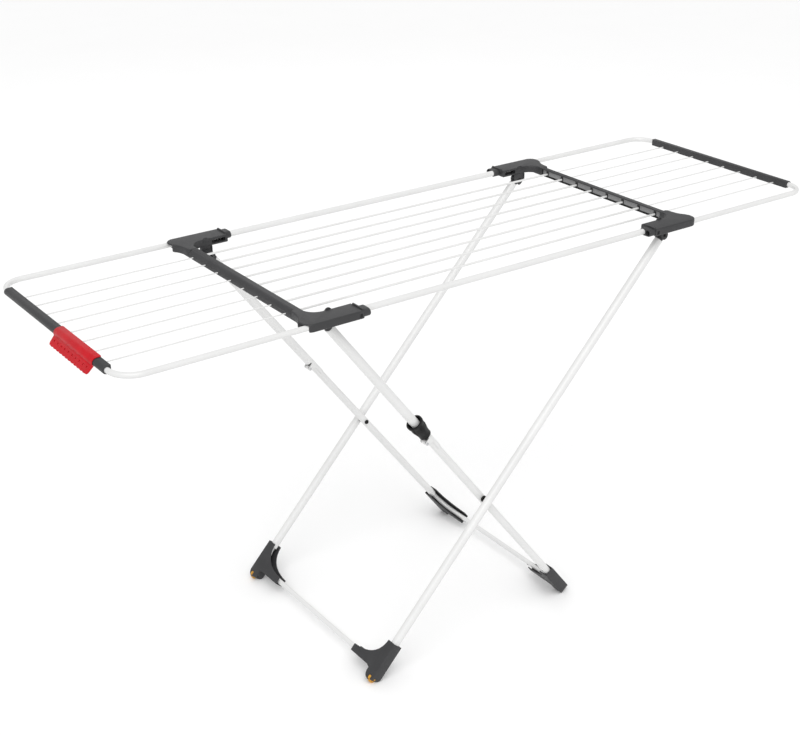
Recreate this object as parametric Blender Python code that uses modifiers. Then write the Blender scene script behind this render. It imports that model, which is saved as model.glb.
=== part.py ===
"""Clothes drying rack with two pull-out wings and folding crossed legs.

Metres, +Z up. The rack stands on Z = 0, X runs along its length and Y across it, and the origin lies
on the floor under the middle of the table. Every moving piece hangs from an empty on its joint's axis.
"""
import math

import bmesh
import bpy
from mathutils import Matrix, Vector

# ---------------------------------------------------------------- fits
CLEARANCE = 0.0003
HINGE_PLAY = 0.0005
SIDES_ROUND = 16
SIDES_LINE = 8
SIDES_PIN = 12
OVERLAP = 0.0001

# ---------------------------------------------------------------- table
TABLE_Z = 0.925
LINE_DROP = 0.004
LINE_COUNT = 8
LINE_PITCH = 0.055
LINE_TUBE_OD = 0.0052
LINE_TUBE_WALL = 0.0006
LINE_PAST_WEB = 0.0055
LINE_HOLE_DEPTH = 0.040
ROD_OD = 0.0030
RAIL_Y = 0.272
RAIL_OD = 0.014
RAIL_WALL = 0.0010
RAIL_SHORT = 0.008
RAIL_SOCKET_PLAY = 0.003
CROSSBAR_X = 0.508
CROSSBAR_WIDTH = 0.022
CROSSBAR_HEIGHT = 0.0168
CROSSBAR_WALL = 0.003
CROSSBAR_SHOULDER = -0.002
CROSSBAR_IN_BRACKET = 0.006
WEB_INSET = 0.004
WEB_THICKNESS = 0.0025
WEB_DEPTH = 0.0215

# ---------------------------------------------------------------- corner brackets
BRACKET_ARM = 0.123
BRACKET_OVERHANG = 0.016
BORE_PAST = 0.010
BRACKET_FLOOR = 0.0015
BRACKET_ROOF = 0.002
BRACKET_OUTER_WALL = 0.004
BRACKET_EDGE = 0.003
BRACKET_FILLET = 0.030
BRACKET_CORNER = 0.020
BRACKET_SKIN = 0.0004
GUSSET_LENGTH = 0.008
GUSSET_STEPS = ((-0.004, 0.0), (0.0, 0.014), (0.006, 0.026), (0.013, 0.036), (0.016, 0.048))
WINDOW_LENGTH = 0.034
WINDOW_HEIGHT = 0.009
WINDOW_FROM_END = 0.021
WINDOW_DEPTH = 0.010
POCKET_DEPTH = 0.014
POCKET_FROM_RAIL = 0.010
POCKET_SIDE = 0.0005
EAR_INSET = 0.022
EAR_DROP = 0.004
EAR_THICKNESS = 0.003
EAR_HALF_WIDTH = 0.014
EAR_TIP = 0.0065
EAR_TIP_DROP = -0.004
EAR_SHOULDER = -0.001
BUMP_RADIUS = 0.009
BUMP_RISE = 0.004
BUMP_ROOT = 0.006

# ---------------------------------------------------------------- wings
WING_OD = 0.012
WING_WALL = 0.0010
WING_GAP = 0.002
WING_CORNER = 0.050
WING_IN_BRACKET = 0.010
END_BAR_X = 0.921
END_BAR_HALF_LENGTH = 0.235
END_BAR_BULGE = 0.0095
END_BAR_LIP = 0.0085
END_BAR_WALL = 0.002
ROD_ENGAGED = 0.054
GRIP_LENGTH = 0.172
GRIP_FROM_BAR_END = 0.042
GRIP_WALL = 0.0022
GRIP_HOOK = 0.009
FLAP_DROP = 0.0120
FLAP_EDGE = 0.001
FLAP_REACH = 0.012

# ---------------------------------------------------------------- legs
PIVOT_FROM_CROSSBAR = 0.053
INNER_FOOT_X = 0.205
OUTER_FOOT_X = -0.352
FOOT_Z = 0.030
UPPER_OD = 0.021
UPPER_WALL = 0.0012
OUTER_OD = 0.020
LEG_WALL = 0.0010
TUBE_START = 0.0145
TUBE_SHORT = 0.005
EYE_NARROWER = 0.0004
NECK_NARROWER = 0.0008
PLUG_LENGTH = 0.045
PIN_RADIUS = 0.003
PIN_HEAD_RADIUS = 0.0045
PIN_HEAD = 0.0012
PIN_PAST = 0.001
KNEE_DROP = 0.0115
KNEE_PIN_RADIUS = 0.0017
KNEE_PIN_HEAD = 0.0006
KNEE_PIN_HEAD_RADIUS = 0.0030
KNEE_EAR_RADIUS = 0.0050
KNEE_EAR_HALF_LENGTH = 0.009
KNEE_EAR_ROOT = 0.002
KNEE_LUG_RADIUS = 0.0047
KNEE_LUG_WIDTH = 0.008
KNEE_END_PLAY = 0.002
SHEATH_BEYOND_KNEE = 0.037
SHEATH_BEFORE_KNEE = 0.012
SLEEVE_LENGTH = 0.050
SLEEVE_ABOVE_KNEE = 0.0135
SLEEVE_TIP = 0.0142
SLEEVE_TIP_LENGTH = 0.012
SLEEVE_SLOPE = 0.016
SLEEVE_RADIUS = 0.0180
SLEEVE_RIM = 0.0195
SLEEVE_RIM_LENGTH = 0.006
RIVET_SHANK = 0.0025
RIVET_HEAD = 0.0060
RIVET_HEAD_DEPTH = 0.0022
RIVET_FLANGE = 0.0080
RIVET_TAPER = 0.8

# ---------------------------------------------------------------- feet
FOOT_BAR_OD = 0.012
FOOT_BAR_WALL = 0.0010
FOOT_BEND = 0.050
FOOT_BAR_PLUGGED = 0.040
FOOT_ARM_UP = 0.065
FOOT_ARM_IN = 0.095
FOOT_WALL = 0.0025
FOOT_SHOULDER = 0.0045
FOOT_PAST = 0.020
FOOT_EDGE_PULL = (0.012, 0.016)
LOBE_RADIUS = 0.016
LOBE_REACH = 0.034
LOBE_STEP = (0.003, 0.010)
WHEEL_RADIUS = 0.011
WHEEL_WIDTH = 0.008
WHEEL_LIFT = 0.0005
WHEEL_INSET = 0.002
WHEEL_SLOT_PLAY = 0.0008
WHEEL_RIM = 0.0012
AXLE_RADIUS = 0.0020
AXLE_LENGTH = 0.020

# ---------------------------------------------------------------- worked out from the sizes above
LINE_Z = TABLE_Z - LINE_DROP
PIVOT_X = CROSSBAR_X - PIVOT_FROM_CROSSBAR
WEB_X = CROSSBAR_X - CROSSBAR_WIDTH / 2 + WEB_INSET
LINE_END_X = WEB_X + WEB_THICKNESS + LINE_PAST_WEB
WING_Y = RAIL_Y + RAIL_OD / 2 + WING_GAP + WING_OD / 2
BRACKET_INNER_X = CROSSBAR_X - BRACKET_ARM
BRACKET_OUTER_X = CROSSBAR_X + CROSSBAR_WIDTH / 2 + BRACKET_OVERHANG
BRACKET_BOTTOM = TABLE_Z - RAIL_OD / 2 - BRACKET_FLOOR - CLEARANCE
BRACKET_TOP = TABLE_Z + RAIL_OD / 2 + BRACKET_ROOF
BRACKET_OUTER_Y = WING_Y + WING_OD / 2 + CLEARANCE + BRACKET_OUTER_WALL
RAIL_END_X = CROSSBAR_X - RAIL_SHORT
EAR_Y = RAIL_Y - EAR_INSET
BRACKET_INNER_Y = EAR_Y - EAR_THICKNESS / 2 + BRACKET_SKIN
EYE_RADIUS = UPPER_OD / 2
PIVOT_Z = BRACKET_BOTTOM - EAR_DROP - HINGE_PLAY * 3 - EYE_RADIUS
INNER_Y = EAR_Y - EAR_THICKNESS / 2 - HINGE_PLAY - UPPER_OD / 2
OUTER_Y = EAR_Y + EAR_THICKNESS / 2 + 2 * HINGE_PLAY + OUTER_OD / 2
LOWER_OD = UPPER_OD - 2 * UPPER_WALL - 2 * CLEARANCE
ROD_OUTER_X = END_BAR_X - WING_OD / 2 - CLEARANCE * 3
ROD_INNER_X = LINE_END_X - ROD_ENGAGED
WING_END_X = BRACKET_INNER_X + WING_IN_BRACKET
FOOT_CHANNEL = max(OUTER_OD, LOWER_OD) + 2 * CLEARANCE
FOOT_THICKNESS = FOOT_CHANNEL + 2 * FOOT_WALL

# the two leg frames as lines in the XZ plane, from the top pivot to the foot
INNER_TOP = Vector((-PIVOT_X, 0, PIVOT_Z))
INNER_FOOT = Vector((INNER_FOOT_X, 0, FOOT_Z))
OUTER_TOP = Vector((PIVOT_X, 0, PIVOT_Z))
OUTER_FOOT = Vector((OUTER_FOOT_X, 0, FOOT_Z))
INNER_LENGTH = (INNER_FOOT - INNER_TOP).length
OUTER_LENGTH = (OUTER_FOOT - OUTER_TOP).length


def tilt_about_y(top, foot):
    """Return the turn about Y that lays a leg's own +X along the line from its pivot to its foot."""
    return math.atan2(top.z - foot.z, foot.x - top.x)


INNER_TILT = tilt_about_y(INNER_TOP, INNER_FOOT)
OUTER_TILT = tilt_about_y(OUTER_TOP, OUTER_FOOT)
# the crossing, as a distance down each leg: a triangle of the pivots' span and the two leg angles
SPAN = 2 * PIVOT_X
OUTER_ANGLE = math.pi - OUTER_TILT
INNER_TO_CROSSING = SPAN * math.sin(OUTER_ANGLE) / math.sin(INNER_TILT + OUTER_ANGLE)
OUTER_TO_CROSSING = SPAN * math.sin(INNER_TILT) / math.sin(INNER_TILT + OUTER_ANGLE)
# the knee lies where the four links can lie flat on one line
KNEE_S = (SPAN + INNER_TO_CROSSING - OUTER_TO_CROSSING) / 2

# ---------------------------------------------------------------- colours: base colour, roughness, metallic
WHITE_COAT = ((0.86, 0.86, 0.85), 0.30, 0.0)
GREY_PLASTIC = ((0.075, 0.075, 0.078), 0.50, 0.0)
BLACK_PLASTIC = ((0.012, 0.012, 0.013), 0.42, 0.0)
RED_PLASTIC = ((0.58, 0.018, 0.035), 0.38, 0.0)
AMBER_PLASTIC = ((0.62, 0.33, 0.03), 0.40, 0.0)
ZINC_STEEL = ((0.60, 0.60, 0.61), 0.35, 1.0)


# ---------------------------------------------------------------- scene helpers
def clear_scene():
    """Remove whatever the file opened with."""
    for item in list(bpy.data.objects):
        bpy.data.objects.remove(item, do_unlink=True)


def make_collection(name):
    """Return a new collection linked to the scene."""
    group = bpy.data.collections.new(name)
    bpy.context.scene.collection.children.link(group)
    return group


clear_scene()
RACK = make_collection("clothes_drying_rack")
CUTTERS = make_collection("cutters")


def make_material(name, finish):
    """Return a Principled material for one piece."""
    colour, roughness, metallic = finish
    material = bpy.data.materials.new(name)
    material.use_nodes = True
    shader = material.node_tree.nodes["Principled BSDF"]
    shader.inputs["Base Color"].default_value = (*colour, 1.0)
    shader.inputs["Roughness"].default_value = roughness
    shader.inputs["Metallic"].default_value = metallic
    return material


def new_object(name, mesh, parent=None, location=(0, 0, 0), rotation=(0, 0, 0), group=None):
    """Return a linked object, placed by its location and rotation under its parent."""
    item = bpy.data.objects.new(name, mesh)
    (group or RACK).objects.link(item)
    item.parent = parent
    item.location = location
    item.rotation_euler = rotation
    return item


def dress(item, finish):
    """Give a piece its material and smooth round faces."""
    item.data.materials.append(make_material(item.name, finish))
    item.data.shade_smooth()
    item.data.set_sharp_from_angle(angle=math.radians(35))
    return item


def as_cutter(item):
    """Keep a cutter out of the build and show it as a wire."""
    item.hide_render = True
    item.display_type = "WIRE"
    return item


def empty(name, location, tilt=0.0, parent=None):
    """Return an empty on a joint's axis, turned about Y by tilt."""
    item = bpy.data.objects.new(name, None)
    RACK.objects.link(item)
    item.location = location
    item.rotation_euler = (0, tilt, 0)
    item.parent = parent
    return item


def boolean(item, other, operation="DIFFERENCE"):
    """Add an exact Boolean modifier."""
    modifier = item.modifiers.new(operation.lower() + "_" + other.name, "BOOLEAN")
    modifier.operation = operation
    modifier.solver = "EXACT"
    modifier.object = other
    return modifier


def mesh_from_bmesh(name, bm):
    """Turn a bmesh into a mesh with its faces pointing out."""
    bmesh.ops.recalc_face_normals(bm, faces=bm.faces)
    mesh = bpy.data.meshes.new(name)
    bm.to_mesh(mesh)
    bm.free()
    return mesh


AXIS_TURN = {
    "X": Matrix.Rotation(math.pi / 2, 4, "Y"),
    "Y": Matrix.Rotation(-math.pi / 2, 4, "X"),
    "Z": Matrix.Identity(4),
}


def cylinder_mesh(name, radius, length, axis, centres=((0, 0, 0),), sides=SIDES_ROUND):
    """Return one mesh of equal capped cylinders along an axis."""
    bm = bmesh.new()
    half_step = Matrix.Rotation(math.pi / sides, 4, "Z")
    for centre in centres:
        place = Matrix.Translation(centre) @ AXIS_TURN[axis] @ half_step
        bmesh.ops.create_cone(
            bm, cap_ends=True, segments=sides, radius1=radius, radius2=radius, depth=length, matrix=place
        )
    return mesh_from_bmesh(name, bm)


def box_mesh(name, low, high):
    """Return a box between two corners."""
    bm = bmesh.new()
    size = Vector(high) - Vector(low)
    middle = (Vector(high) + Vector(low)) / 2
    place = Matrix.Translation(middle) @ Matrix.Diagonal((*size, 1.0))
    bmesh.ops.create_cube(bm, size=1.0, matrix=place)
    return mesh_from_bmesh(name, bm)


def straight_tube(name, radius, wall, start, end, axis="X", sides=SIDES_ROUND, **place):
    """Return an open tube between two places on its own axis, its wall made by Solidify."""
    bm = bmesh.new()
    half_step = Matrix.Rotation(math.pi / sides, 4, "Z")
    middle = AXIS_TURN[axis] @ Vector((0, 0, (start + end) / 2))
    matrix = Matrix.Translation(middle) @ AXIS_TURN[axis] @ half_step
    length = abs(end - start)
    bmesh.ops.create_cone(
        bm, cap_ends=False, segments=sides, radius1=radius, radius2=radius, depth=length, matrix=matrix
    )
    item = new_object(name, mesh_from_bmesh(name, bm), **place)
    return add_wall(item, wall)


def add_wall(item, wall):
    """Give an open surface its wall, inwards."""
    modifier = item.modifiers.new("wall", "SOLIDIFY")
    modifier.thickness = wall
    modifier.offset = -1
    modifier.use_even_offset = True
    return item


def curve_as_mesh(name, curve):
    """Turn curve data into a welded mesh and drop the curve."""
    source = bpy.data.objects.new(name + "_curve", curve)
    RACK.objects.link(source)
    bpy.context.view_layer.update()
    evaluated = source.evaluated_get(bpy.context.evaluated_depsgraph_get())
    raw = bpy.data.meshes.new_from_object(evaluated)
    bm = bmesh.new()
    bm.from_mesh(raw)
    bmesh.ops.remove_doubles(bm, verts=bm.verts, dist=1e-6)
    bpy.data.objects.remove(source, do_unlink=True)
    bpy.data.meshes.remove(raw)
    return mesh_from_bmesh(name, bm)


def add_spline(curve, points, cyclic):
    """Add one straight-sided spline through the points."""
    spline = curve.splines.new("POLY")
    spline.points.add(len(points) - 1)
    for slot, point in zip(spline.points, points):
        slot.co = (*point, 1.0) if len(point) == 3 else (*point, 0.0, 1.0)
    spline.use_cyclic_u = cyclic


def plate_mesh(name, outlines, thickness, edge=0.0, turn=None):
    """Return a flat outline, with any holes, as a plate centred on its own plane.

    edge rounds the rims within the outline; turn is a matrix for the plane's attitude.
    """
    curve = bpy.data.curves.new(name, "CURVE")
    curve.dimensions = "2D"
    curve.fill_mode = "BOTH"
    curve.extrude = thickness / 2 - edge
    curve.bevel_depth = edge
    curve.bevel_resolution = 1
    curve.offset = -edge
    for outline in outlines:
        add_spline(curve, outline, True)
    mesh = curve_as_mesh(name, curve)
    if turn is not None:
        mesh.transform(turn)
    return mesh


def bent_tube(name, points, radius, wall, **place):
    """Return an open tube along a route, its wall made by Solidify."""
    curve = bpy.data.curves.new(name, "CURVE")
    curve.dimensions = "3D"
    curve.bevel_depth = radius
    curve.bevel_resolution = 3
    curve.use_fill_caps = False
    add_spline(curve, points, False)
    item = new_object(name, curve_as_mesh(name, curve), **place)
    return add_wall(item, wall)


def turned(name, profile, closed=False, sides=SIDES_ROUND, **place):
    """Return a turned piece: (radius, height) points down its outer side, spun about its own Z."""
    bm = bmesh.new()
    points = [bm.verts.new((radius, 0, height)) for radius, height in profile]
    pairs = list(zip(points, points[1:]))
    if closed:
        pairs.append((points[-1], points[0]))
    for first, second in pairs:
        bm.edges.new((first, second))
    mesh = bpy.data.meshes.new(name)
    bm.to_mesh(mesh)
    bm.free()
    item = new_object(name, mesh, **place)
    modifier = item.modifiers.new("screw", "SCREW")
    modifier.axis = "Z"
    modifier.steps = sides
    modifier.render_steps = sides
    modifier.use_merge_vertices = True
    modifier.merge_threshold = 1e-6
    return item


def arc(centre, radius, start, end, steps):
    """Return points on an arc, in degrees from start to end."""
    turns = [math.radians(start + (end - start) * i / steps) for i in range(steps + 1)]
    radius_x, radius_y = radius if isinstance(radius, tuple) else (radius, radius)
    return [(centre[0] + radius_x * math.cos(t), centre[1] + radius_y * math.sin(t)) for t in turns]


UPRIGHT = Matrix.Rotation(math.pi / 2, 4, "X")
SIDE_NAMES = {1: "back", -1: "front"}
END_NAMES = {1: "right", -1: "left"}


def line_places():
    """Return the Y of each line, from the back to the front."""
    return [(i - (LINE_COUNT - 1) / 2) * -LINE_PITCH for i in range(LINE_COUNT)]


# ---------------------------------------------------------------- table
def crossbar_profile(end):
    """Return the crossbar's section: a rounded outer wall, a flat top and a web that holds the lines."""
    half = CROSSBAR_WIDTH / 2
    crown = CROSSBAR_HEIGHT / 2
    shoulder = CROSSBAR_SHOULDER
    wall = CROSSBAR_WALL
    web = -half + WEB_INSET
    outer = arc((shoulder, -crown), (half - shoulder, 2 * crown), 0, 90, 7)
    inner = arc((shoulder, -crown), (half - shoulder - wall, 2 * crown - wall), 90, 0, 7)
    points = outer + [(-half, crown), (-half, crown - wall), (web, crown - wall)]
    points += [(web, crown - WEB_DEPTH), (web + WEB_THICKNESS, crown - WEB_DEPTH)]
    points += [(web + WEB_THICKNESS, crown - wall)] + inner
    return [(end * (CROSSBAR_X + x), TABLE_Z + z) for x, z in points]


def bracket_outline(end, side):
    """Return a corner bracket's plan: an arm along the rails and a gusset that runs into the crossbar."""
    inner_edge = CROSSBAR_X - CROSSBAR_WIDTH / 2 - CLEARANCE
    outer_edge = CROSSBAR_X + CROSSBAR_WIDTH / 2
    fillet = BRACKET_FILLET
    gusset_root = BRACKET_INNER_Y - fillet - GUSSET_LENGTH
    points = [(BRACKET_INNER_X, BRACKET_INNER_Y)]
    points += arc((inner_edge - fillet, BRACKET_INNER_Y - fillet), fillet, 90, 0, 6)
    points += [(inner_edge, gusset_root)]
    points += [(outer_edge + out, gusset_root + along) for out, along in GUSSET_STEPS]
    corner = (BRACKET_OUTER_X - BRACKET_CORNER, BRACKET_OUTER_Y - BRACKET_CORNER)
    points += arc(corner, BRACKET_CORNER, 0, 90, 5)
    points += [(BRACKET_INNER_X, BRACKET_OUTER_Y)]
    return [(end * x, side * y) for x, y in points]


def ear_outline(end):
    """Return the shield-shaped ear that carries a leg's pivot pin, in the XZ plane."""
    top = BRACKET_BOTTOM - PIVOT_Z + BRACKET_FLOOR
    tip = (0, -EYE_RADIUS - EAR_TIP_DROP)
    points = [(EAR_HALF_WIDTH, top), (EAR_HALF_WIDTH, EAR_SHOULDER)]
    points += arc(tip, EAR_TIP, -45, -135, 4)
    points += [(-EAR_HALF_WIDTH, EAR_SHOULDER), (-EAR_HALF_WIDTH, top)]
    return [(end * PIVOT_X + x, PIVOT_Z + z) for x, z in points]


def bump_outline(end):
    """Return the low round boss that rises over a bracket's inner edge, in the XZ plane."""
    base = BRACKET_TOP - BUMP_ROOT
    return arc((end * PIVOT_X, base), (BUMP_RADIUS, BUMP_RISE + BUMP_ROOT), 0, 180, 8)


def build_crossbar(end):
    """Build one crossbar with its two corner brackets as a single moulding."""
    name = "crossbar_" + END_NAMES[end]
    length = 2 * (BRACKET_INNER_Y + CROSSBAR_IN_BRACKET)
    bar = new_object(name, plate_mesh(name, [crossbar_profile(end)], length, turn=UPRIGHT))
    middle = (BRACKET_TOP + BRACKET_BOTTOM) / 2
    height = BRACKET_TOP - BRACKET_BOTTOM
    for side in (1, -1):
        tag = END_NAMES[end] + "_" + SIDE_NAMES[side]
        body = plate_mesh("bracket_" + tag, [bracket_outline(end, side)], height, BRACKET_EDGE)
        body.transform(Matrix.Translation((0, 0, middle)))
        boolean(bar, as_cutter(new_object("bracket_" + tag, body, group=CUTTERS)), "UNION")
        for kind, outline in (("ear", ear_outline(end)), ("bump", bump_outline(end))):
            mesh = plate_mesh(kind + "_" + tag, [outline], EAR_THICKNESS, turn=UPRIGHT)
            mesh.transform(Matrix.Translation((0, side * EAR_Y, 0)))
            boolean(bar, as_cutter(new_object(kind + "_" + tag, mesh, group=CUTTERS)), "UNION")
    for cutter in crossbar_cutters(end):
        boolean(bar, as_cutter(cutter))
    return dress(bar, GREY_PLASTIC)


def crossbar_cutters(end):
    """Return the cutters for a crossbar's bores, windows and line holes."""
    tag = END_NAMES[end]
    sides = (1, -1)
    rail_bore = RAIL_END_X + RAIL_SOCKET_PLAY - BRACKET_INNER_X + BORE_PAST
    rail_x = end * (RAIL_END_X + RAIL_SOCKET_PLAY - rail_bore / 2)
    rail_places = [(rail_x, side * RAIL_Y, TABLE_Z) for side in sides]
    rail = cylinder_mesh("rail_bore_" + tag, RAIL_OD / 2 + CLEARANCE, rail_bore, "X", rail_places)
    wing_x = end * (BRACKET_INNER_X + BRACKET_OUTER_X) / 2
    wing_bore = BRACKET_OUTER_X - BRACKET_INNER_X + 2 * BORE_PAST
    wing_places = [(wing_x, side * WING_Y, TABLE_Z) for side in sides]
    wing = cylinder_mesh("wing_bore_" + tag, WING_OD / 2 + CLEARANCE, wing_bore, "X", wing_places)
    pins = cylinder_mesh(
        "pin_holes_" + tag,
        PIN_RADIUS + CLEARANCE,
        EAR_THICKNESS * 3,
        "Y",
        [(end * PIVOT_X, s * EAR_Y, PIVOT_Z) for s in sides],
    )
    web_holes = cylinder_mesh(
        "line_holes_" + tag,
        LINE_TUBE_OD / 2 + CLEARANCE,
        LINE_HOLE_DEPTH,
        "X",
        [(end * (LINE_END_X + CLEARANCE - LINE_HOLE_DEPTH / 2), y, LINE_Z) for y in line_places()],
        SIDES_LINE,
    )
    wall_holes = cylinder_mesh(
        "rod_holes_" + tag,
        ROD_OD / 2 + CLEARANCE,
        LINE_HOLE_DEPTH,
        "X",
        [(end * (LINE_END_X + LINE_HOLE_DEPTH / 2), y, LINE_Z) for y in line_places()],
        SIDES_LINE,
    )
    window_x = BRACKET_INNER_X + WINDOW_FROM_END
    meshes = [rail, wing, pins, web_holes, wall_holes]
    for side in sides:
        low = (end * window_x, side * (EAR_Y - WINDOW_DEPTH), TABLE_Z - WINDOW_HEIGHT / 2)
        high = (end * (window_x + WINDOW_LENGTH), side * RAIL_Y, TABLE_Z + WINDOW_HEIGHT / 2)
        meshes.append(box_mesh("window_" + tag + "_" + SIDE_NAMES[side], low, high))
        pocket_y = RAIL_Y - POCKET_FROM_RAIL
        pocket_end = WING_Y + WING_OD / 2 + POCKET_SIDE
        roof = TABLE_Z + RAIL_OD / 2
        low = (end * (BRACKET_OUTER_X - POCKET_DEPTH), side * pocket_y, BRACKET_BOTTOM - OVERLAP)
        high = (end * (BRACKET_OUTER_X + BORE_PAST), side * pocket_end, roof)
        meshes.append(box_mesh("pocket_" + tag + "_" + SIDE_NAMES[side], low, high))
    return [new_object(mesh.name, mesh, group=CUTTERS) for mesh in meshes]


def build_table():
    """Build the fixed table: crossbars, side rails, line tubes and the legs' pivot pins."""
    for end in (-1, 1):
        build_crossbar(end)
    for side in (1, -1):
        rail = straight_tube(
            "side_rail_" + SIDE_NAMES[side],
            RAIL_OD / 2,
            RAIL_WALL,
            -RAIL_END_X,
            RAIL_END_X,
            location=(0, side * RAIL_Y, TABLE_Z),
        )
        dress(rail, WHITE_COAT)
    for number, y in enumerate(line_places(), 1):
        line = straight_tube(
            f"line_tube_{number}",
            LINE_TUBE_OD / 2,
            LINE_TUBE_WALL,
            -LINE_END_X,
            LINE_END_X,
            sides=SIDES_LINE,
            location=(0, y, LINE_Z),
        )
        dress(line, WHITE_COAT)
    for side in (1, -1):
        build_pivot_pin("inner", -PIVOT_X, side, INNER_Y, -1)
        build_pivot_pin("outer", PIVOT_X, side, OUTER_Y, 1)


def build_pivot_pin(frame_name, x, side, plane_y, away):
    """Build a headed pin through an ear; away is 1 where the leg hangs outboard of the ear, else -1."""
    start = EAR_Y - away * (EAR_THICKNESS / 2 + CLEARANCE)
    reach = abs(plane_y - start) + UPPER_OD / 2 + PIN_PAST
    profile = [(0, PIN_HEAD), (PIN_HEAD_RADIUS, PIN_HEAD), (PIN_HEAD_RADIUS, 0)]
    profile += [(PIN_RADIUS, 0), (PIN_RADIUS, -reach), (0, -reach)]
    pin = turned(
        f"pivot_pin_{frame_name}_{SIDE_NAMES[side]}",
        profile,
        location=(x, side * start, PIVOT_Z),
        rotation=(side * away * math.pi / 2, 0, 0),
    )
    dress(pin, BLACK_PLASTIC)


# ---------------------------------------------------------------- wings
def end_bar_outer(end):
    """Return the outline of an end bar's section, half round on its outer side."""
    half = WING_OD / 2 + CLEARANCE + END_BAR_WALL
    points = arc((0, 0), (END_BAR_BULGE, half), -90, 90, 10)
    points += [(-END_BAR_LIP, half), (-END_BAR_LIP, -half)]
    return [(end * (END_BAR_X + x), TABLE_Z + z) for x, z in points]


def end_bar_inner(end):
    """Return the hole along an end bar, which takes the wing's tube."""
    radius = WING_OD / 2 + CLEARANCE
    points = arc((0, 0), radius, -90, 90, 8) + arc((0, 0), radius, 90, 270, 8)[1:-1]
    return [(end * (END_BAR_X + x), TABLE_Z + z) for x, z in points]


def build_wing(end):
    """Build one pull-out wing: a U-shaped tube, an end bar, and a rod in each line tube."""
    tag = END_NAMES[end]
    slide = empty(f"wing_{tag}_slide", (0, 0, 0))
    bend = arc((END_BAR_X - WING_CORNER, WING_Y - WING_CORNER), WING_CORNER, 90, 0, 6)
    half_route = [(WING_END_X, WING_Y)] + bend
    route = [(end * x, y, TABLE_Z) for x, y in half_route]
    route += [(end * x, -y, TABLE_Z) for x, y in reversed(half_route)]
    dress(bent_tube("wing_tube_" + tag, route, WING_OD / 2, WING_WALL, parent=slide), WHITE_COAT)

    name = "end_bar_" + tag
    outlines = [end_bar_outer(end), end_bar_inner(end)]
    bar = new_object(name, plate_mesh(name, outlines, 2 * END_BAR_HALF_LENGTH, turn=UPRIGHT), parent=slide)
    holes = cylinder_mesh(
        "end_bar_holes_" + tag,
        ROD_OD / 2 + CLEARANCE,
        END_BAR_LIP,
        "X",
        [(end * (END_BAR_X - END_BAR_LIP - CLEARANCE), y, LINE_Z) for y in line_places()],
        SIDES_LINE,
    )
    boolean(bar, as_cutter(new_object(holes.name, holes, group=CUTTERS)))
    dress(bar, GREY_PLASTIC)

    length = ROD_OUTER_X - ROD_INNER_X
    middle = (ROD_OUTER_X + ROD_INNER_X) / 2
    for number, y in enumerate(line_places(), 1):
        rod = cylinder_mesh(f"wing_rod_{tag}_{number}", ROD_OD / 2, length, "X", sides=SIDES_LINE)
        dress(new_object(rod.name, rod, parent=slide, location=(end * middle, y, LINE_Z)), WHITE_COAT)
    return slide


def build_hand_grip(slide):
    """Build the clip-on grip: a shell round the left end bar's outer side, with a flap below it."""
    half = WING_OD / 2 + CLEARANCE + END_BAR_WALL
    gap = CLEARANCE
    inner_x, inner_z = END_BAR_BULGE + gap, half + gap
    outer_x, outer_z = inner_x + GRIP_WALL, inner_z + GRIP_WALL
    flap = (inner_x + FLAP_REACH, -half - FLAP_DROP)
    outer = [(-GRIP_HOOK, outer_z)] + arc((0, 0), (outer_x, outer_z), 90, -20, 9)
    outer += [(flap[0] + GRIP_WALL, flap[1] + FLAP_EDGE), flap]
    inner = arc((0, 0), (inner_x, inner_z), -45, 90, 10) + [(-GRIP_HOOK, inner_z)]
    outline = [(-END_BAR_X - x, TABLE_Z + z) for x, z in outer + inner]
    name = "hand_grip"
    mesh = plate_mesh(name, [outline], GRIP_LENGTH, turn=UPRIGHT)
    y = -END_BAR_HALF_LENGTH + GRIP_FROM_BAR_END + GRIP_LENGTH / 2
    dress(new_object(name, mesh, parent=slide, location=(0, y, 0)), RED_PLASTIC)


# ---------------------------------------------------------------- legs
def build_leg_top(frame_name, side, plane_y, tube_od, wall, pivot):
    """Build the plastic eye that plugs a leg's upper end and turns on its pivot pin."""
    name = f"leg_top_{frame_name}_{SIDE_NAMES[side]}"
    eye = cylinder_mesh(name, EYE_RADIUS, tube_od - EYE_NARROWER, "Y")
    fitting = new_object(name, eye, parent=pivot, location=(0, side * plane_y, 0))
    plug_radius = tube_od / 2 - wall - CLEARANCE
    neck_radius = tube_od / 2 - NECK_NARROWER
    neck_length = TUBE_START - CLEARANCE
    for kind, radius, length in (("plug", plug_radius, PLUG_LENGTH), ("neck", neck_radius, neck_length)):
        mesh = cylinder_mesh(f"{kind}_{name}", radius, length, "X", [(length / 2, 0, 0)])
        piece = new_object(mesh.name, mesh, parent=pivot, location=(0, side * plane_y, 0), group=CUTTERS)
        boolean(fitting, as_cutter(piece), "UNION")
    hole = cylinder_mesh("hole_" + name, PIN_RADIUS + CLEARANCE, 2 * tube_od, "Y")
    piece = new_object(hole.name, hole, parent=pivot, location=(0, side * plane_y, 0), group=CUTTERS)
    boolean(fitting, as_cutter(piece))
    dress(fitting, GREY_PLASTIC)


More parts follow.
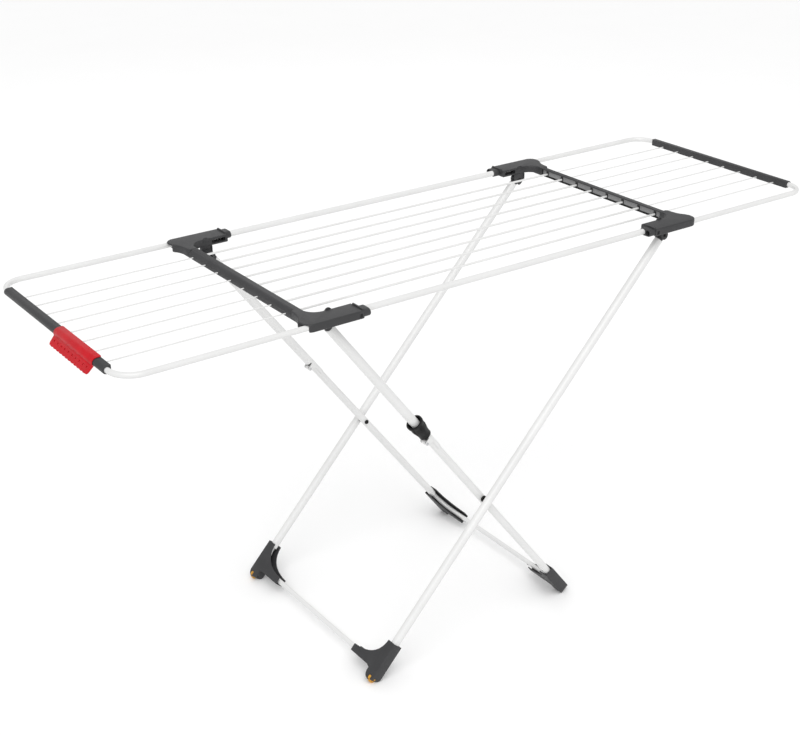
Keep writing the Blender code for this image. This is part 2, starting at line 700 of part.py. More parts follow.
def build_upper_leg(side, pivot):
    """Build an inner frame's upper leg: a tube that opens underneath into a trough with two knee ears."""
    name = "inner_upper_leg_" + SIDE_NAMES[side]
    end = KNEE_S + SHEATH_BEYOND_KNEE
    at = (0, side * INNER_Y, 0)
    leg = straight_tube(name, UPPER_OD / 2, UPPER_WALL, TUBE_START, end, parent=pivot, location=at)
    open_from = KNEE_S - SHEATH_BEFORE_KNEE
    opening = box_mesh("opening_" + name, (open_from, -UPPER_OD, -UPPER_OD), (end + BORE_PAST, UPPER_OD, 0))
    boolean(leg, as_cutter(new_object(opening.name, opening, parent=pivot, location=at, group=CUTTERS)))
    outer_face = UPPER_OD / 2 - OVERLAP
    inner_face = UPPER_OD / 2 - UPPER_WALL + OVERLAP
    for face in (1, -1):
        outline = [(KNEE_S + KNEE_EAR_HALF_LENGTH, KNEE_EAR_ROOT)]
        outline += [(KNEE_S - KNEE_EAR_HALF_LENGTH, KNEE_EAR_ROOT)]
        outline += arc((KNEE_S, -KNEE_DROP), KNEE_EAR_RADIUS, 190, 350, 8)
        ear = plate_mesh(f"knee_ear_{name}_{face}", [outline], outer_face - inner_face, turn=UPRIGHT)
        ear.transform(Matrix.Translation((0, face * (outer_face + inner_face) / 2, 0)))
        boolean(leg, as_cutter(new_object(ear.name, ear, parent=pivot, location=at, group=CUTTERS)), "UNION")
    knee = [(KNEE_S, 0, -KNEE_DROP)]
    hole = cylinder_mesh("knee_hole_" + name, KNEE_PIN_RADIUS + CLEARANCE, 2 * UPPER_OD, "Y", knee, SIDES_PIN)
    boolean(leg, as_cutter(new_object(hole.name, hole, parent=pivot, location=at, group=CUTTERS)))
    dress(leg, WHITE_COAT)


def build_knee_pin(side, pivot):
    """Build the small headed pin of a knee."""
    half = UPPER_OD / 2 + CLEARANCE
    top = half + KNEE_PIN_HEAD
    profile = [(0, top), (KNEE_PIN_HEAD_RADIUS, top), (KNEE_PIN_HEAD_RADIUS, half), (KNEE_PIN_RADIUS, half)]
    profile += [(radius, -height) for radius, height in reversed(profile)]
    pin = turned(
        "knee_pin_" + SIDE_NAMES[side],
        profile,
        sides=SIDES_PIN,
        parent=pivot,
        location=(KNEE_S, side * INNER_Y, -KNEE_DROP),
        rotation=(math.pi / 2, 0, 0),
    )
    dress(pin, ZINC_STEEL)


def build_lock_sleeve(pivot):
    """Build the sleeve that slides on the front upper leg, above the knee."""
    slide = empty("lock_sleeve_slide", (0, -INNER_Y, 0), parent=pivot)
    bore = UPPER_OD / 2 + HINGE_PLAY
    low = KNEE_S - SLEEVE_ABOVE_KNEE
    high = low - SLEEVE_LENGTH
    tip = low - SLEEVE_TIP_LENGTH
    profile = [(bore, low), (SLEEVE_TIP, low), (SLEEVE_TIP, tip), (SLEEVE_RADIUS, tip - SLEEVE_SLOPE)]
    profile += [(SLEEVE_RADIUS, high + 2 * SLEEVE_RIM_LENGTH), (SLEEVE_RIM, high + SLEEVE_RIM_LENGTH)]
    profile += [(SLEEVE_RIM, high), (bore, high)]
    item = turned("lock_sleeve", profile, closed=True, parent=slide, rotation=(0, math.pi / 2, 0))
    dress(item, BLACK_PLASTIC)


def build_lower_leg(side, knee):
    """Build an inner frame's lower leg: a tube with a welded knee lug and a hole for the crossing rivet."""
    name = "inner_lower_leg_" + SIDE_NAMES[side]
    shift = Vector((-KNEE_S, side * INNER_Y, KNEE_DROP))
    end = INNER_LENGTH - FOOT_BEND - TUBE_SHORT
    start = KNEE_S - KNEE_END_PLAY
    leg = straight_tube(name, LOWER_OD / 2, LEG_WALL, start, end, parent=knee, location=shift)
    lug = cylinder_mesh("lug_" + name, KNEE_LUG_RADIUS, KNEE_LUG_WIDTH, "Y", [(KNEE_S, 0, -KNEE_DROP)])
    boolean(leg, as_cutter(new_object(lug.name, lug, parent=knee, location=shift, group=CUTTERS)), "UNION")
    holes = (
        ("lug_hole_", KNEE_PIN_RADIUS + CLEARANCE, (KNEE_S, 0, -KNEE_DROP)),
        ("rivet_hole_", RIVET_SHANK + CLEARANCE, (INNER_TO_CROSSING, 0, 0)),
    )
    for kind, radius, centre in holes:
        hole = cylinder_mesh(kind + name, radius, 2 * LOWER_OD, "Y", [centre], SIDES_PIN)
        boolean(leg, as_cutter(new_object(hole.name, hole, parent=knee, location=shift, group=CUTTERS)))
    dress(leg, WHITE_COAT)


def build_crossing_rivet(side, knee):
    """Build the rivet through a lower leg, with the flange that spaces it from the outer frame."""
    half = LOWER_OD / 2 + CLEARANCE
    flange = OUTER_Y - OUTER_OD / 2 - INNER_Y - CLEARANCE
    profile = [(0, flange), (RIVET_FLANGE, flange), (RIVET_FLANGE, half), (RIVET_SHANK, half)]
    head = -half - RIVET_HEAD_DEPTH
    profile += [(RIVET_SHANK, -half), (RIVET_HEAD, -half), (RIVET_HEAD * RIVET_TAPER, head), (0, head)]
    rivet = turned(
        "crossing_rivet_" + SIDE_NAMES[side],
        profile,
        parent=knee,
        location=(INNER_TO_CROSSING - KNEE_S, side * INNER_Y, KNEE_DROP),
        rotation=(-side * math.pi / 2, 0, 0),
    )
    dress(rivet, BLACK_PLASTIC)


# ---------------------------------------------------------------- feet
def build_foot_bar(name, leg_length, plane_y, holder, origin):
    """Build the thin bent tube that joins a frame's two legs at the floor."""
    bend = arc((leg_length - FOOT_BEND, plane_y - FOOT_BEND), FOOT_BEND, 90, 0, 6)
    half_route = [(leg_length - FOOT_BEND - FOOT_BAR_PLUGGED, plane_y)] + bend
    route = [(x, y, 0) for x, y in half_route] + [(x, -y, 0) for x, y in reversed(half_route)]
    tube = bent_tube(name, route, FOOT_BAR_OD / 2, FOOT_BAR_WALL, parent=holder, location=origin)
    dress(tube, WHITE_COAT)


def foot_outline():
    """Return a corner foot's outline as (distance up the leg, distance inwards) points."""
    rim = FOOT_CHANNEL / 2 + FOOT_WALL
    lobe_in = LOBE_RADIUS - rim
    lobe_up = LOBE_RADIUS - LOBE_REACH
    bar_rim = FOOT_BAR_OD / 2 + CLEARANCE + FOOT_WALL
    points = [(FOOT_ARM_UP, -rim)]
    for turn in half_turn(8):
        points.append((lobe_up - LOBE_RADIUS * math.sin(turn), lobe_in - LOBE_RADIUS * math.cos(turn)))
    lobe_end = lobe_in + LOBE_RADIUS
    points += [(-bar_rim - LOBE_STEP[0], lobe_end), (-bar_rim, lobe_end + LOBE_STEP[1])]
    points += [(-bar_rim, FOOT_ARM_IN)]
    first, pull, last = (bar_rim, FOOT_ARM_IN), FOOT_EDGE_PULL, (FOOT_ARM_UP, rim)
    for step in range(9):
        t = step / 8
        weights = ((1 - t) ** 2, 2 * t * (1 - t), t * t)
        up = sum(w * p[0] for w, p in zip(weights, (first, pull, last)))
        inwards = sum(w * p[1] for w, p in zip(weights, (first, pull, last)))
        points.append((up, inwards))
    return points


def half_turn(steps):
    """Return equal turns from 0 to pi."""
    return [math.pi * i / steps for i in range(steps + 1)]


def foot_channel():
    """Return the space inside a corner foot, open on its inner side, as (up the leg, inwards) points."""
    wide = FOOT_CHANNEL / 2
    narrow = FOOT_BAR_OD / 2 + CLEARANCE
    shoulder = FOOT_BEND + FOOT_SHOULDER
    far = FOOT_ARM_IN + FOOT_PAST
    points = [(FOOT_ARM_UP + FOOT_PAST, -wide), (shoulder, -wide), (shoulder, -narrow)]
    reach = FOOT_BEND + narrow
    for turn in range(7):
        angle = math.radians(15 * turn)
        points.append((FOOT_BEND - reach * math.sin(angle), FOOT_BEND - reach * math.cos(angle)))
    points += [(-narrow, far), (FOOT_ARM_UP + FOOT_PAST, far)]
    return points


def foot_plate(name, outline, thickness, side, leg_length, plane_y):
    """Return a plate in a leg frame's own plane, from (up the leg, inwards) points."""
    flat = [(leg_length - up, side * (plane_y - inwards)) for up, inwards in outline]
    return plate_mesh(name, [flat], thickness)


def build_foot(name, side, leg_length, plane_y, holder, origin, floor_cut):
    """Build a corner foot: a curved plate with a channel for the tubes and a lobe that meets the floor."""
    shell = foot_plate(name, foot_outline(), FOOT_THICKNESS, side, leg_length, plane_y)
    foot = new_object(name, shell, parent=holder, location=origin)
    channel = foot_plate("channel_" + name, foot_channel(), FOOT_CHANNEL, side, leg_length, plane_y)
    cutter = new_object(channel.name, channel, parent=holder, location=origin, group=CUTTERS)
    boolean(foot, as_cutter(cutter))
    boolean(foot, floor_cut)
    return dress(foot, GREY_PLASTIC)


def wheel_place():
    """Return the wheel's centre in the outer frame's own plane: (up the leg, out of the plane)."""
    height = WHEEL_RADIUS + WHEEL_LIFT
    out = -WHEEL_INSET
    up = (height - FOOT_Z - out * math.cos(OUTER_TILT)) / math.sin(OUTER_TILT)
    return up, out


def build_wheel(side, foot, pivot):
    """Build a wheel with stub axles, and cut its slot and axle hole in its foot."""
    up, out = wheel_place()
    centre = (OUTER_LENGTH - up, side * OUTER_Y, out)
    tag = SIDE_NAMES[side]
    slot_radius = WHEEL_RADIUS + WHEEL_SLOT_PLAY
    slot = cylinder_mesh("wheel_slot_" + tag, slot_radius, WHEEL_WIDTH + 2 * HINGE_PLAY, "Y")
    hole = cylinder_mesh("axle_hole_" + tag, AXLE_RADIUS + CLEARANCE, 2 * AXLE_LENGTH, "Y", sides=SIDES_PIN)
    for mesh in (slot, hole):
        cutter = new_object(mesh.name, mesh, parent=pivot, location=centre, group=CUTTERS)
        boolean(foot, as_cutter(cutter))
    axle = empty("wheel_axle_" + tag, centre, parent=pivot)
    half = WHEEL_WIDTH / 2
    profile = [(0, AXLE_LENGTH / 2), (AXLE_RADIUS, AXLE_LENGTH / 2), (AXLE_RADIUS, half)]
    profile += [(WHEEL_RADIUS - WHEEL_RIM, half), (WHEEL_RADIUS, half - WHEEL_RIM)]
    profile += [(radius, -height) for radius, height in reversed(profile)]
    wheel = turned("wheel_" + tag, profile, parent=axle, rotation=(math.pi / 2, 0, 0))
    dress(wheel, AMBER_PLASTIC)


# ---------------------------------------------------------------- leg frames
def build_floor_cutter():
    """Return the block under the floor plane that gives each foot its flat."""
    block = box_mesh("floor", (-1, -1, -1), (1, 1, 0))
    return as_cutter(new_object(block.name, block, group=CUTTERS))


def build_inner_frame(floor_cut):
    """Build the inner frame: upper legs on the left pivots, lower legs on the knees, feet on the right."""
    pivot = empty("inner_frame_pivot", INNER_TOP, INNER_TILT)
    knee = empty("knee_pivot", (KNEE_S, 0, -KNEE_DROP), parent=pivot)
    for side in (1, -1):
        build_leg_top("inner", side, INNER_Y, UPPER_OD, UPPER_WALL, pivot)
        build_upper_leg(side, pivot)
        build_knee_pin(side, pivot)
        build_lower_leg(side, knee)
        build_crossing_rivet(side, knee)
    build_lock_sleeve(pivot)
    origin = (-KNEE_S, 0, KNEE_DROP)
    build_foot_bar("foot_bar_right", INNER_LENGTH, INNER_Y, knee, origin)
    for side in (1, -1):
        name = "foot_right_" + SIDE_NAMES[side]
        build_foot(name, side, INNER_LENGTH, INNER_Y, knee, origin, floor_cut)


def build_outer_frame(floor_cut):
    """Build the outer frame: legs on the right pivots, feet with wheels on the left."""
    pivot = empty("outer_frame_pivot", OUTER_TOP, OUTER_TILT)
    end = OUTER_LENGTH - FOOT_BEND - TUBE_SHORT
    for side in (1, -1):
        build_leg_top("outer", side, OUTER_Y, OUTER_OD, LEG_WALL, pivot)
        name = "outer_leg_" + SIDE_NAMES[side]
        at = (0, side * OUTER_Y, 0)
        leg = straight_tube(name, OUTER_OD / 2, LEG_WALL, TUBE_START, end, parent=pivot, location=at)
        dress(leg, WHITE_COAT)
    build_foot_bar("foot_bar_left", OUTER_LENGTH, OUTER_Y, pivot, (0, 0, 0))
    for side in (1, -1):
        name = "foot_left_" + SIDE_NAMES[side]
        foot = build_foot(name, side, OUTER_LENGTH, OUTER_Y, pivot, (0, 0, 0), floor_cut)
        build_wheel(side, foot, pivot)


def main():
    """Build the whole rack."""
    build_table()
    left_slide = build_wing(-1)
    build_wing(1)
    build_hand_grip(left_slide)
    floor_cut = build_floor_cutter()
    build_inner_frame(floor_cut)
    build_outer_frame(floor_cut)


main()
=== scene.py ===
"""Clothes drying rack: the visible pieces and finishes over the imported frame.

Metres, +Z up. X runs along the rack, Y across it, and the floor is Z = 0. Each sub-assembly is a class
that holds its own sizes, builds its pieces with bmesh operators and rides them on their bodies.
"""

import logging
import math
from dataclasses import dataclass, field
from enum import Enum
from typing import ClassVar, Iterable, Sequence

import bmesh
import bpy
from mathutils import Matrix, Vector


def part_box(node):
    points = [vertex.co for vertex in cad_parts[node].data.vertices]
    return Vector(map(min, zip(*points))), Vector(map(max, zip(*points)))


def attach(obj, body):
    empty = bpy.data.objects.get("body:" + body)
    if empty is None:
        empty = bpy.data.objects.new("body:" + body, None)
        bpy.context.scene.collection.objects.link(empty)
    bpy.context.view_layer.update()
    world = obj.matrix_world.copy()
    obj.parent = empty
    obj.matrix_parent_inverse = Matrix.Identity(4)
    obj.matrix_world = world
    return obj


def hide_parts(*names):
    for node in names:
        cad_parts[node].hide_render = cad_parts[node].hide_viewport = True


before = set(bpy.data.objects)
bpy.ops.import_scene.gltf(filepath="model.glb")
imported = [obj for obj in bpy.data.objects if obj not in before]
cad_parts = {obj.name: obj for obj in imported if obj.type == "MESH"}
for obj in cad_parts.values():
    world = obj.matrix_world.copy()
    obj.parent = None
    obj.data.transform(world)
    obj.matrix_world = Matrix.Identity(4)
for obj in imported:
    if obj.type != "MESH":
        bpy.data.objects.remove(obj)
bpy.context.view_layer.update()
LOG = logging.getLogger("drying_rack")
Point = tuple[float, float]
ALONG_X = Matrix.Rotation(math.pi / 2, 4, "Y")
ALONG_Y = Matrix.Rotation(math.pi / 2, 4, "X")
CLEARANCE = 0.0003
ROD_HOLE = 0.0018
LINES = range(1, 9)


class End(Enum):
    """The two ends of the rack, by the sign of X."""

    LEFT = -1
    RIGHT = 1

    @property
    def tag(self) -> str:
        """Return the word that node names use for this end."""
        return self.name.lower()


class Side(Enum):
    """The two long sides of the rack, by the sign of Y."""

    BACK = 1
    FRONT = -1

    @property
    def tag(self) -> str:
        """Return the word that node names use for this side."""
        return self.name.lower()


# ---------------------------------------------------------------- shader nodes
class Field:
    """A socket's value over a surface, which Python operators turn into Math nodes."""

    def __init__(self, sheet: "NodeSheet", socket: bpy.types.NodeSocket) -> None:
        """Keep the sheet and the output socket."""
        self.sheet = sheet
        self.socket = socket

    def _math(self, operation: str, *operands: "Field | float") -> "Field":
        """Add one Math node.

        Args:
            operation: The Math node's operation.
            operands: Its values or fields, in order.

        Returns:
            The node's result.
        """
        return self.sheet.add("ShaderNodeMath", {"operation": operation}, dict(enumerate(operands)))

    def __add__(self, other: "Field | float") -> "Field":
        """Return the sum."""
        return self._math("ADD", self, other)

    __radd__ = __add__

    def __mul__(self, other: "Field | float") -> "Field":
        """Return the product."""
        return self._math("MULTIPLY", self, other)

    __rmul__ = __mul__

    def band(self, low: float, high: float) -> "Field":
        """Stretch the range from low to high over 0 to 1.

        Args:
            low: The value that becomes 0.
            high: The value that becomes 1.

        Returns:
            The stretched field, clamped.
        """
        inputs = {"Value": self, "From Min": low, "From Max": high}
        return self.sheet.add("ShaderNodeMapRange", {"clamp": True}, inputs)


class NodeSheet:
    """The node tree of one material, filled by one method."""

    def __init__(self, name: str) -> None:
        """Make an empty material of that name."""
        self.material = bpy.data.materials.new(name)
        self.material.use_nodes = True
        self.nodes = self.material.node_tree.nodes
        self.links = self.material.node_tree.links
        self.nodes.clear()

    def add(self, kind: str, settings: dict, inputs: dict, output: int | str = 0) -> Field:
        """Add one node.

        Args:
            kind: The node's type.
            settings: Its own properties, which are set first.
            inputs: A value or a field for each input that is used, by name or number.
            output: The output that is returned.

        Returns:
            The chosen output as a field.
        """
        node = self.nodes.new(kind)
        for key, value in settings.items():
            setattr(node, key, value)
        for key, value in inputs.items():
            socket = node.inputs[key]
            if isinstance(value, Field):
                self.links.new(value.socket, socket)
            else:
                socket.default_value = value
        return Field(self, node.outputs[output]) if len(node.outputs) else Field(self, None)

    def object_space(self) -> Field:
        """Return the object's own coordinates."""
        return self.add("ShaderNodeTexCoord", {}, {}, "Object")

    def noise(self, scale: float, detail: float = 3.0, place: Field | None = None) -> Field:
        """Return smooth noise.

        Args:
            scale: How many features there are to the metre.
            detail: How many finer layers are added.
            place: Coordinates to use in place of the object's own.

        Returns:
            The noise's value from 0 to 1.
        """
        inputs = {"Vector": place or self.object_space(), "Scale": scale, "Detail": detail}
        return self.add("ShaderNodeTexNoise", {}, inputs, 0)

    def mix(self, factor: Field, first: Sequence[float], second: Sequence[float]) -> Field:
        """Return a blend of two colours by a field."""
        inputs = {0: factor, 6: (*first, 1.0), 7: (*second, 1.0)}
        return self.add("ShaderNodeMix", {"data_type": "RGBA"}, inputs, 2)

    def bump(self, height: Field, strength: float, distance: float) -> Field:
        """Return a normal that a height field has roughened."""
        return self.add("ShaderNodeBump", {}, {"Height": height, "Strength": strength, "Distance": distance})

    def finish(self, inputs: dict) -> bpy.types.Material:
        """Close the material with a Principled shader.

        Args:
            inputs: The shader's values and fields.

        Returns:
            The finished material.
        """
        shader = self.add("ShaderNodeBsdfPrincipled", {}, inputs)
        self.add("ShaderNodeOutputMaterial", {}, {"Surface": shader})
        return self.material


# ---------------------------------------------------------------- finishes
@dataclass(frozen=True)
class Finish:
    """A finish: its colour, a second colour it drifts to, its gloss and its surface grain."""

    name: str
    slot: str
    colour: tuple[float, float, float]
    drift: tuple[float, float, float]
    drift_scale: float
    roughness: tuple[float, float]
    grain_scale: float
    grain_height: float
    grain_strength: float = 0.4
    metallic: float = 0.0
    specular: float = 0.5
    coat: float = 0.0
    coat_roughness: float = 0.1
    subsurface: float = 0.0
    made: ClassVar[dict[str, bpy.types.Material]] = {}

    def material(self) -> bpy.types.Material:
        """Return this finish's material, made once."""
        if self.name not in self.made:
            self.made[self.name] = self._make()
        return self.made[self.name]

    def _make(self) -> bpy.types.Material:
        """Build the node tree.

        Returns:
            The finished material.
        """
        sheet = NodeSheet(self.name)
        place = sheet.object_space()
        cloud = sheet.noise(self.drift_scale, 4.0, place)
        smudge = sheet.noise(self.drift_scale * 4.3, 2.0, place)
        grain = sheet.noise(self.grain_scale, 2.0, place)
        pits = sheet.add("ShaderNodeTexVoronoi", {}, {"Vector": place, "Scale": self.grain_scale * 0.6}, 0)
        low, high = self.roughness
        gloss = low + (high - low) * (0.65 * smudge + 0.35 * grain)
        height = 0.7 * grain + 0.3 * pits.band(0.0, 0.7)
        inputs = {
            "Base Color": sheet.mix(cloud.band(0.32, 0.68), self.colour, self.drift),
            "Roughness": gloss,
            "Metallic": self.metallic,
            "Specular IOR Level": self.specular,
            "Coat Weight": self.coat,
            "Coat Roughness": self.coat_roughness,
            "Normal": sheet.bump(height, self.grain_strength, self.grain_height),
        }
        if self.subsurface:
            inputs["Subsurface Weight"] = self.subsurface
            inputs["Subsurface Radius"] = (1.0, 0.45, 0.15)
            inputs["Subsurface Scale"] = 0.003
        return sheet.finish(inputs)


POWDER_COAT = Finish(
    name="white_powder_coat",
    slot="white_tube",
    colour=(0.76, 0.76, 0.755),
    drift=(0.72, 0.72, 0.715),
    drift_scale=9.0,
    roughness=(0.24, 0.38),
    grain_scale=900.0,
    grain_height=0.00006,
    coat=0.15,
    coat_roughness=0.2,
)
GREY_MOULDING = Finish(
    name="grey_moulding",
    slot="grey_plastic",
    colour=(0.042, 0.042, 0.044),
    drift=(0.035, 0.035, 0.037),
    drift_scale=30.0,
    roughness=(0.42, 0.58),
    grain_scale=1500.0,
    grain_height=0.00007,
    grain_strength=0.55,
    specular=0.35,
)
# Painted light: a paler copy of the dark grey plastic, standing in for the lit upper band of the crossbar's
# web.
GREY_PAINTED_LIGHT = Finish(
    name="grey_painted_light",
    slot="grey_plastic",
    colour=(0.22, 0.22, 0.222),
    drift=(0.19, 0.19, 0.192),
    drift_scale=30.0,
    roughness=(0.45, 0.60),
    grain_scale=1500.0,
    grain_height=0.00007,
)
# Black plastic of the sleeve, screws, rivets and pins; the same material also paints shade on the crossbar's
# lower web.
BLACK_MOULDING = Finish(
    name="black_moulding",
    slot="black_plastic",
    colour=(0.005, 0.005, 0.005),
    drift=(0.008, 0.008, 0.008),
    drift_scale=60.0,
    roughness=(0.40, 0.55),
    specular=0.2,
    grain_scale=1600.0,
    grain_height=0.00006,
)
RED_MOULDING = Finish(
    name="red_moulding",
    slot="red_plastic",
    colour=(0.56, 0.004, 0.012),
    drift=(0.48, 0.003, 0.010),
    drift_scale=40.0,
    roughness=(0.36, 0.50),
    grain_scale=1300.0,
    grain_height=0.00005,
    specular=0.25,
)
AMBER_MOULDING = Finish(
    name="amber_moulding",
    slot="amber_plastic",
    colour=(0.66, 0.34, 0.02),
    drift=(0.55, 0.25, 0.012),
    drift_scale=90.0,
    roughness=(0.25, 0.40),
    grain_scale=1500.0,
    grain_height=0.00004,
    coat=0.3,
    subsurface=0.25,
)
ZINC_STEEL = Finish(
    name="zinc_steel",
    slot="zinc_steel",
    colour=(0.62, 0.62, 0.63),
    drift=(0.50, 0.51, 0.53),
    drift_scale=200.0,
    roughness=(0.24, 0.42),
    grain_scale=2500.0,
    grain_height=0.00003,
    metallic=1.0,
)


# ---------------------------------------------------------------- shapes
class Shape:
    """A mesh under construction, shaped with bmesh operators."""

    def __init__(self) -> None:
        """Start with nothing."""
        self.bm = bmesh.new()

    def ring(self, radius: float, sides: int, place: Matrix) -> list:
        """Add an open circle.

        Args:
            radius: The circle's radius.
            sides: How many edges it has.
            place: Where its plane and centre go.

        Returns:
            Its vertices and edges.
        """
        made = bmesh.ops.create_circle(self.bm, cap_ends=False, segments=sides, radius=radius, matrix=place)
        verts = made["verts"]
        edges = {edge for vert in verts for edge in vert.link_edges}
        return [*verts, *edges]

    def sweep(self, ring: list, step: Sequence[float]) -> list:
        """Extrude a ring along a vector and return the new ring."""
        edges = [part for part in ring if isinstance(part, bmesh.types.BMEdge)]
        made = bmesh.ops.extrude_edge_only(self.bm, edges=edges)["geom"]
        verts = [part for part in made if isinstance(part, bmesh.types.BMVert)]
        bmesh.ops.translate(self.bm, verts=verts, vec=step)
        found = set(verts)
        lines = [part for part in made if isinstance(part, bmesh.types.BMEdge) and set(part.verts) <= found]
        return [*verts, *lines]

    def bend(self, ring: list, centre: Sequence[float], steps: int) -> list:
        """Spin a ring a quarter turn to the right, seen from above, and return the last ring."""
        turn = {"axis": (0, 0, 1), "angle": -math.pi / 2, "steps": steps, "use_merge": False}
        made = bmesh.ops.spin(self.bm, geom=ring, cent=centre, **turn)["geom_last"]
        return [part for part in made if not isinstance(part, bmesh.types.BMFace)]

    def pipe(self, radius: float, wall: float, start: Sequence[float], length: float, sides: int) -> "Shape":
        """Add an open tube that runs along +X from a place."""
        ring = self.ring(radius, sides, Matrix.Translation(start) @ ALONG_X)
        self.sweep(ring, (length, 0, 0))
        return self.hollow(wall)

    def u_pipe(
        self, radius: float, wall: float, corner: Point, arm: float, bend: float, sides: int, steps: int
    ) -> "Shape":
        """Add a U-shaped tube that runs out along +X, across to -Y and back.

        Args:
            radius: The tube's radius.
            wall: Its wall.
            corner: The (x, y) where an arm and the cross run would meet if the bend were sharp.
            arm: The length of each straight arm.
            bend: The radius of the bends.
            sides: How many sides the tube's round has.
            steps: How many steps each bend has.

        Returns:
            This shape.
        """
        turn_x, arm_y = corner[0] - bend, corner[1]
        cross = arm_y - bend
        ring = self.ring(radius, sides, Matrix.Translation((turn_x - arm, arm_y, 0)) @ ALONG_X)
        ring = self.bend(self.sweep(ring, (arm, 0, 0)), (turn_x, cross, 0), steps)
        ring = self.bend(self.sweep(ring, (0, -2 * cross, 0)), (turn_x, -cross, 0), steps)
        self.sweep(ring, (-arm, 0, 0))
        return self.hollow(wall)

    def plate(self, outline: Sequence[Point], depth: float, edge: float = 0.0, segments: int = 2) -> "Shape":
        """Add a flat outline as a plate centred on the XY plane.

        Args:
            outline: The outline's points.
            depth: The plate's full thickness.
            edge: The radius of its rims.
            segments: How many steps that radius has.

        Returns:
            This shape.
        """
        verts = [self.bm.verts.new((x, y, -depth / 2)) for x, y in outline]
        face = self.bm.faces.new(verts)
        made = bmesh.ops.extrude_face_region(self.bm, geom=[face], use_keep_orig=True)["geom"]
        lifted = [part for part in made if isinstance(part, bmesh.types.BMVert)]
        bmesh.ops.translate(self.bm, verts=lifted, vec=(0, 0, depth))
        bmesh.ops.recalc_face_normals(self.bm, faces=self.bm.faces)
        if edge:
            rims = [part for part in self.bm.edges if abs(part.verts[0].co.z - part.verts[1].co.z) < 1e-6]
            self.round_edges(rims, edge, segments)
        return self

    def round_edges(self, edges: Iterable, width: float, segments: int = 2) -> "Shape":
        """Bevel edges to a round."""
        bmesh.ops.bevel(
            self.bm,
            geom=list(edges),
            offset=width,
            offset_type="OFFSET",
            affect="EDGES",
            segments=segments,
            profile=0.5,
            clamp_overlap=True,
            material=-1,
        )
        return self

    def block(self, low: Sequence[float], high: Sequence[float], edge: float = 0.0) -> "Shape":
        """Add a box between any two opposite corners, its edges rounded."""
        size = [abs(far - near) for near, far in zip(low, high)]
        place = Matrix.Translation((Vector(high) + Vector(low)) / 2) @ Matrix.Diagonal((*size, 1.0))
        made = bmesh.ops.create_cube(self.bm, size=1.0, matrix=place)["verts"]
        if edge:
            self.round_edges({line for vert in made for line in vert.link_edges}, edge)
        return self

    def rod(self, radius: float, start: Sequence[float], end: Sequence[float], sides: int = 24) -> "Shape":
        """Add a capped round bar between two places."""
        span = Vector(end) - Vector(start)
        turn = span.to_track_quat("Z", "Y").to_matrix().to_4x4()
        place = Matrix.Translation((Vector(start) + Vector(end)) / 2) @ turn
        bmesh.ops.create_cone(
            self.bm,
            cap_ends=True,
            segments=sides,
            radius1=radius,
            radius2=radius,
            depth=span.length,
            matrix=place,
        )
        return self

    def turned(self, profile: Sequence[Point], sides: int, closed: bool = False) -> "Shape":
        """Add a turned shape about Z.

        Args:
            profile: (radius, height) points down the outside.
            sides: How many steps the full turn has.
            closed: Whether the profile is a closed loop, as a sleeve's is.

        Returns:
            This shape.
        """
        verts = [self.bm.verts.new((radius, 0, height)) for radius, height in profile]
        pairs = list(zip(verts, verts[1:]))
        if closed:
            pairs.append((verts[-1], verts[0]))
        lines = [self.bm.edges.new(pair) for pair in pairs]
        bmesh.ops.spin(
            self.bm,
            geom=[*verts, *lines],
            cent=(0, 0, 0),
            axis=(0, 0, 1),
            angle=math.tau,
            steps=sides,
            use_merge=True,
        )
        bmesh.ops.remove_doubles(self.bm, verts=self.bm.verts, dist=1e-6)
        bmesh.ops.recalc_face_normals(self.bm, faces=self.bm.faces)
        return self

    def hollow(self, wall: float) -> "Shape":
        """Give an open skin its wall, inwards."""
        bmesh.ops.recalc_face_normals(self.bm, faces=self.bm.faces)
        bmesh.ops.solidify(self.bm, geom=self.bm.faces[:], thickness=wall)
        return self

    def move(self, place: Matrix) -> "Shape":
        """Move the whole shape."""
        self.bm.transform(place)
        if place.determinant() < 0:
            bmesh.ops.reverse_faces(self.bm, faces=self.bm.faces)
        return self

    def mesh(self, name: str) -> bpy.types.Mesh:
        """Turn the shape into a mesh and drop the bmesh."""
        made = bpy.data.meshes.new(name)
        self.bm.to_mesh(made)
        self.bm.free()
        return made


def arc(centre: Point, radius: float | Point, start: float, end: float, steps: int) -> list[Point]:
    """Return points on an arc.

    Args:
        centre: The arc's centre.
        radius: Its radius, or one for each axis.
        start: The first angle, in degrees.
        end: The last angle, in degrees.
        steps: How many steps lie between them.

    Returns:
        The points, from start to end.
    """
    wide, tall = radius if isinstance(radius, tuple) else (radius, radius)
    turns = [math.radians(start + (end - start) * step / steps) for step in range(steps + 1)]
    return [(centre[0] + wide * math.cos(turn), centre[1] + tall * math.sin(turn)) for turn in turns]


def sag(first: Point, pull: Point, last: Point, steps: int) -> list[Point]:
    """Return points on a quadratic curve from first to last that is drawn towards pull."""
    points = []
    for step in range(steps + 1):
        part = step / steps
        shares = ((1 - part) ** 2, 2 * part * (1 - part), part * part)
        spots = list(zip(shares, (first, pull, last)))
        points.append(tuple(sum(share * spot[axis] for share, spot in spots) for axis in (0, 1)))
    return points


def stand(name: str, data: bpy.types.ID) -> bpy.types.Object:
    """Put data in the scene as an object of that name."""
    item = bpy.data.objects.new(name, data)
    bpy.context.scene.collection.objects.link(item)
    return item


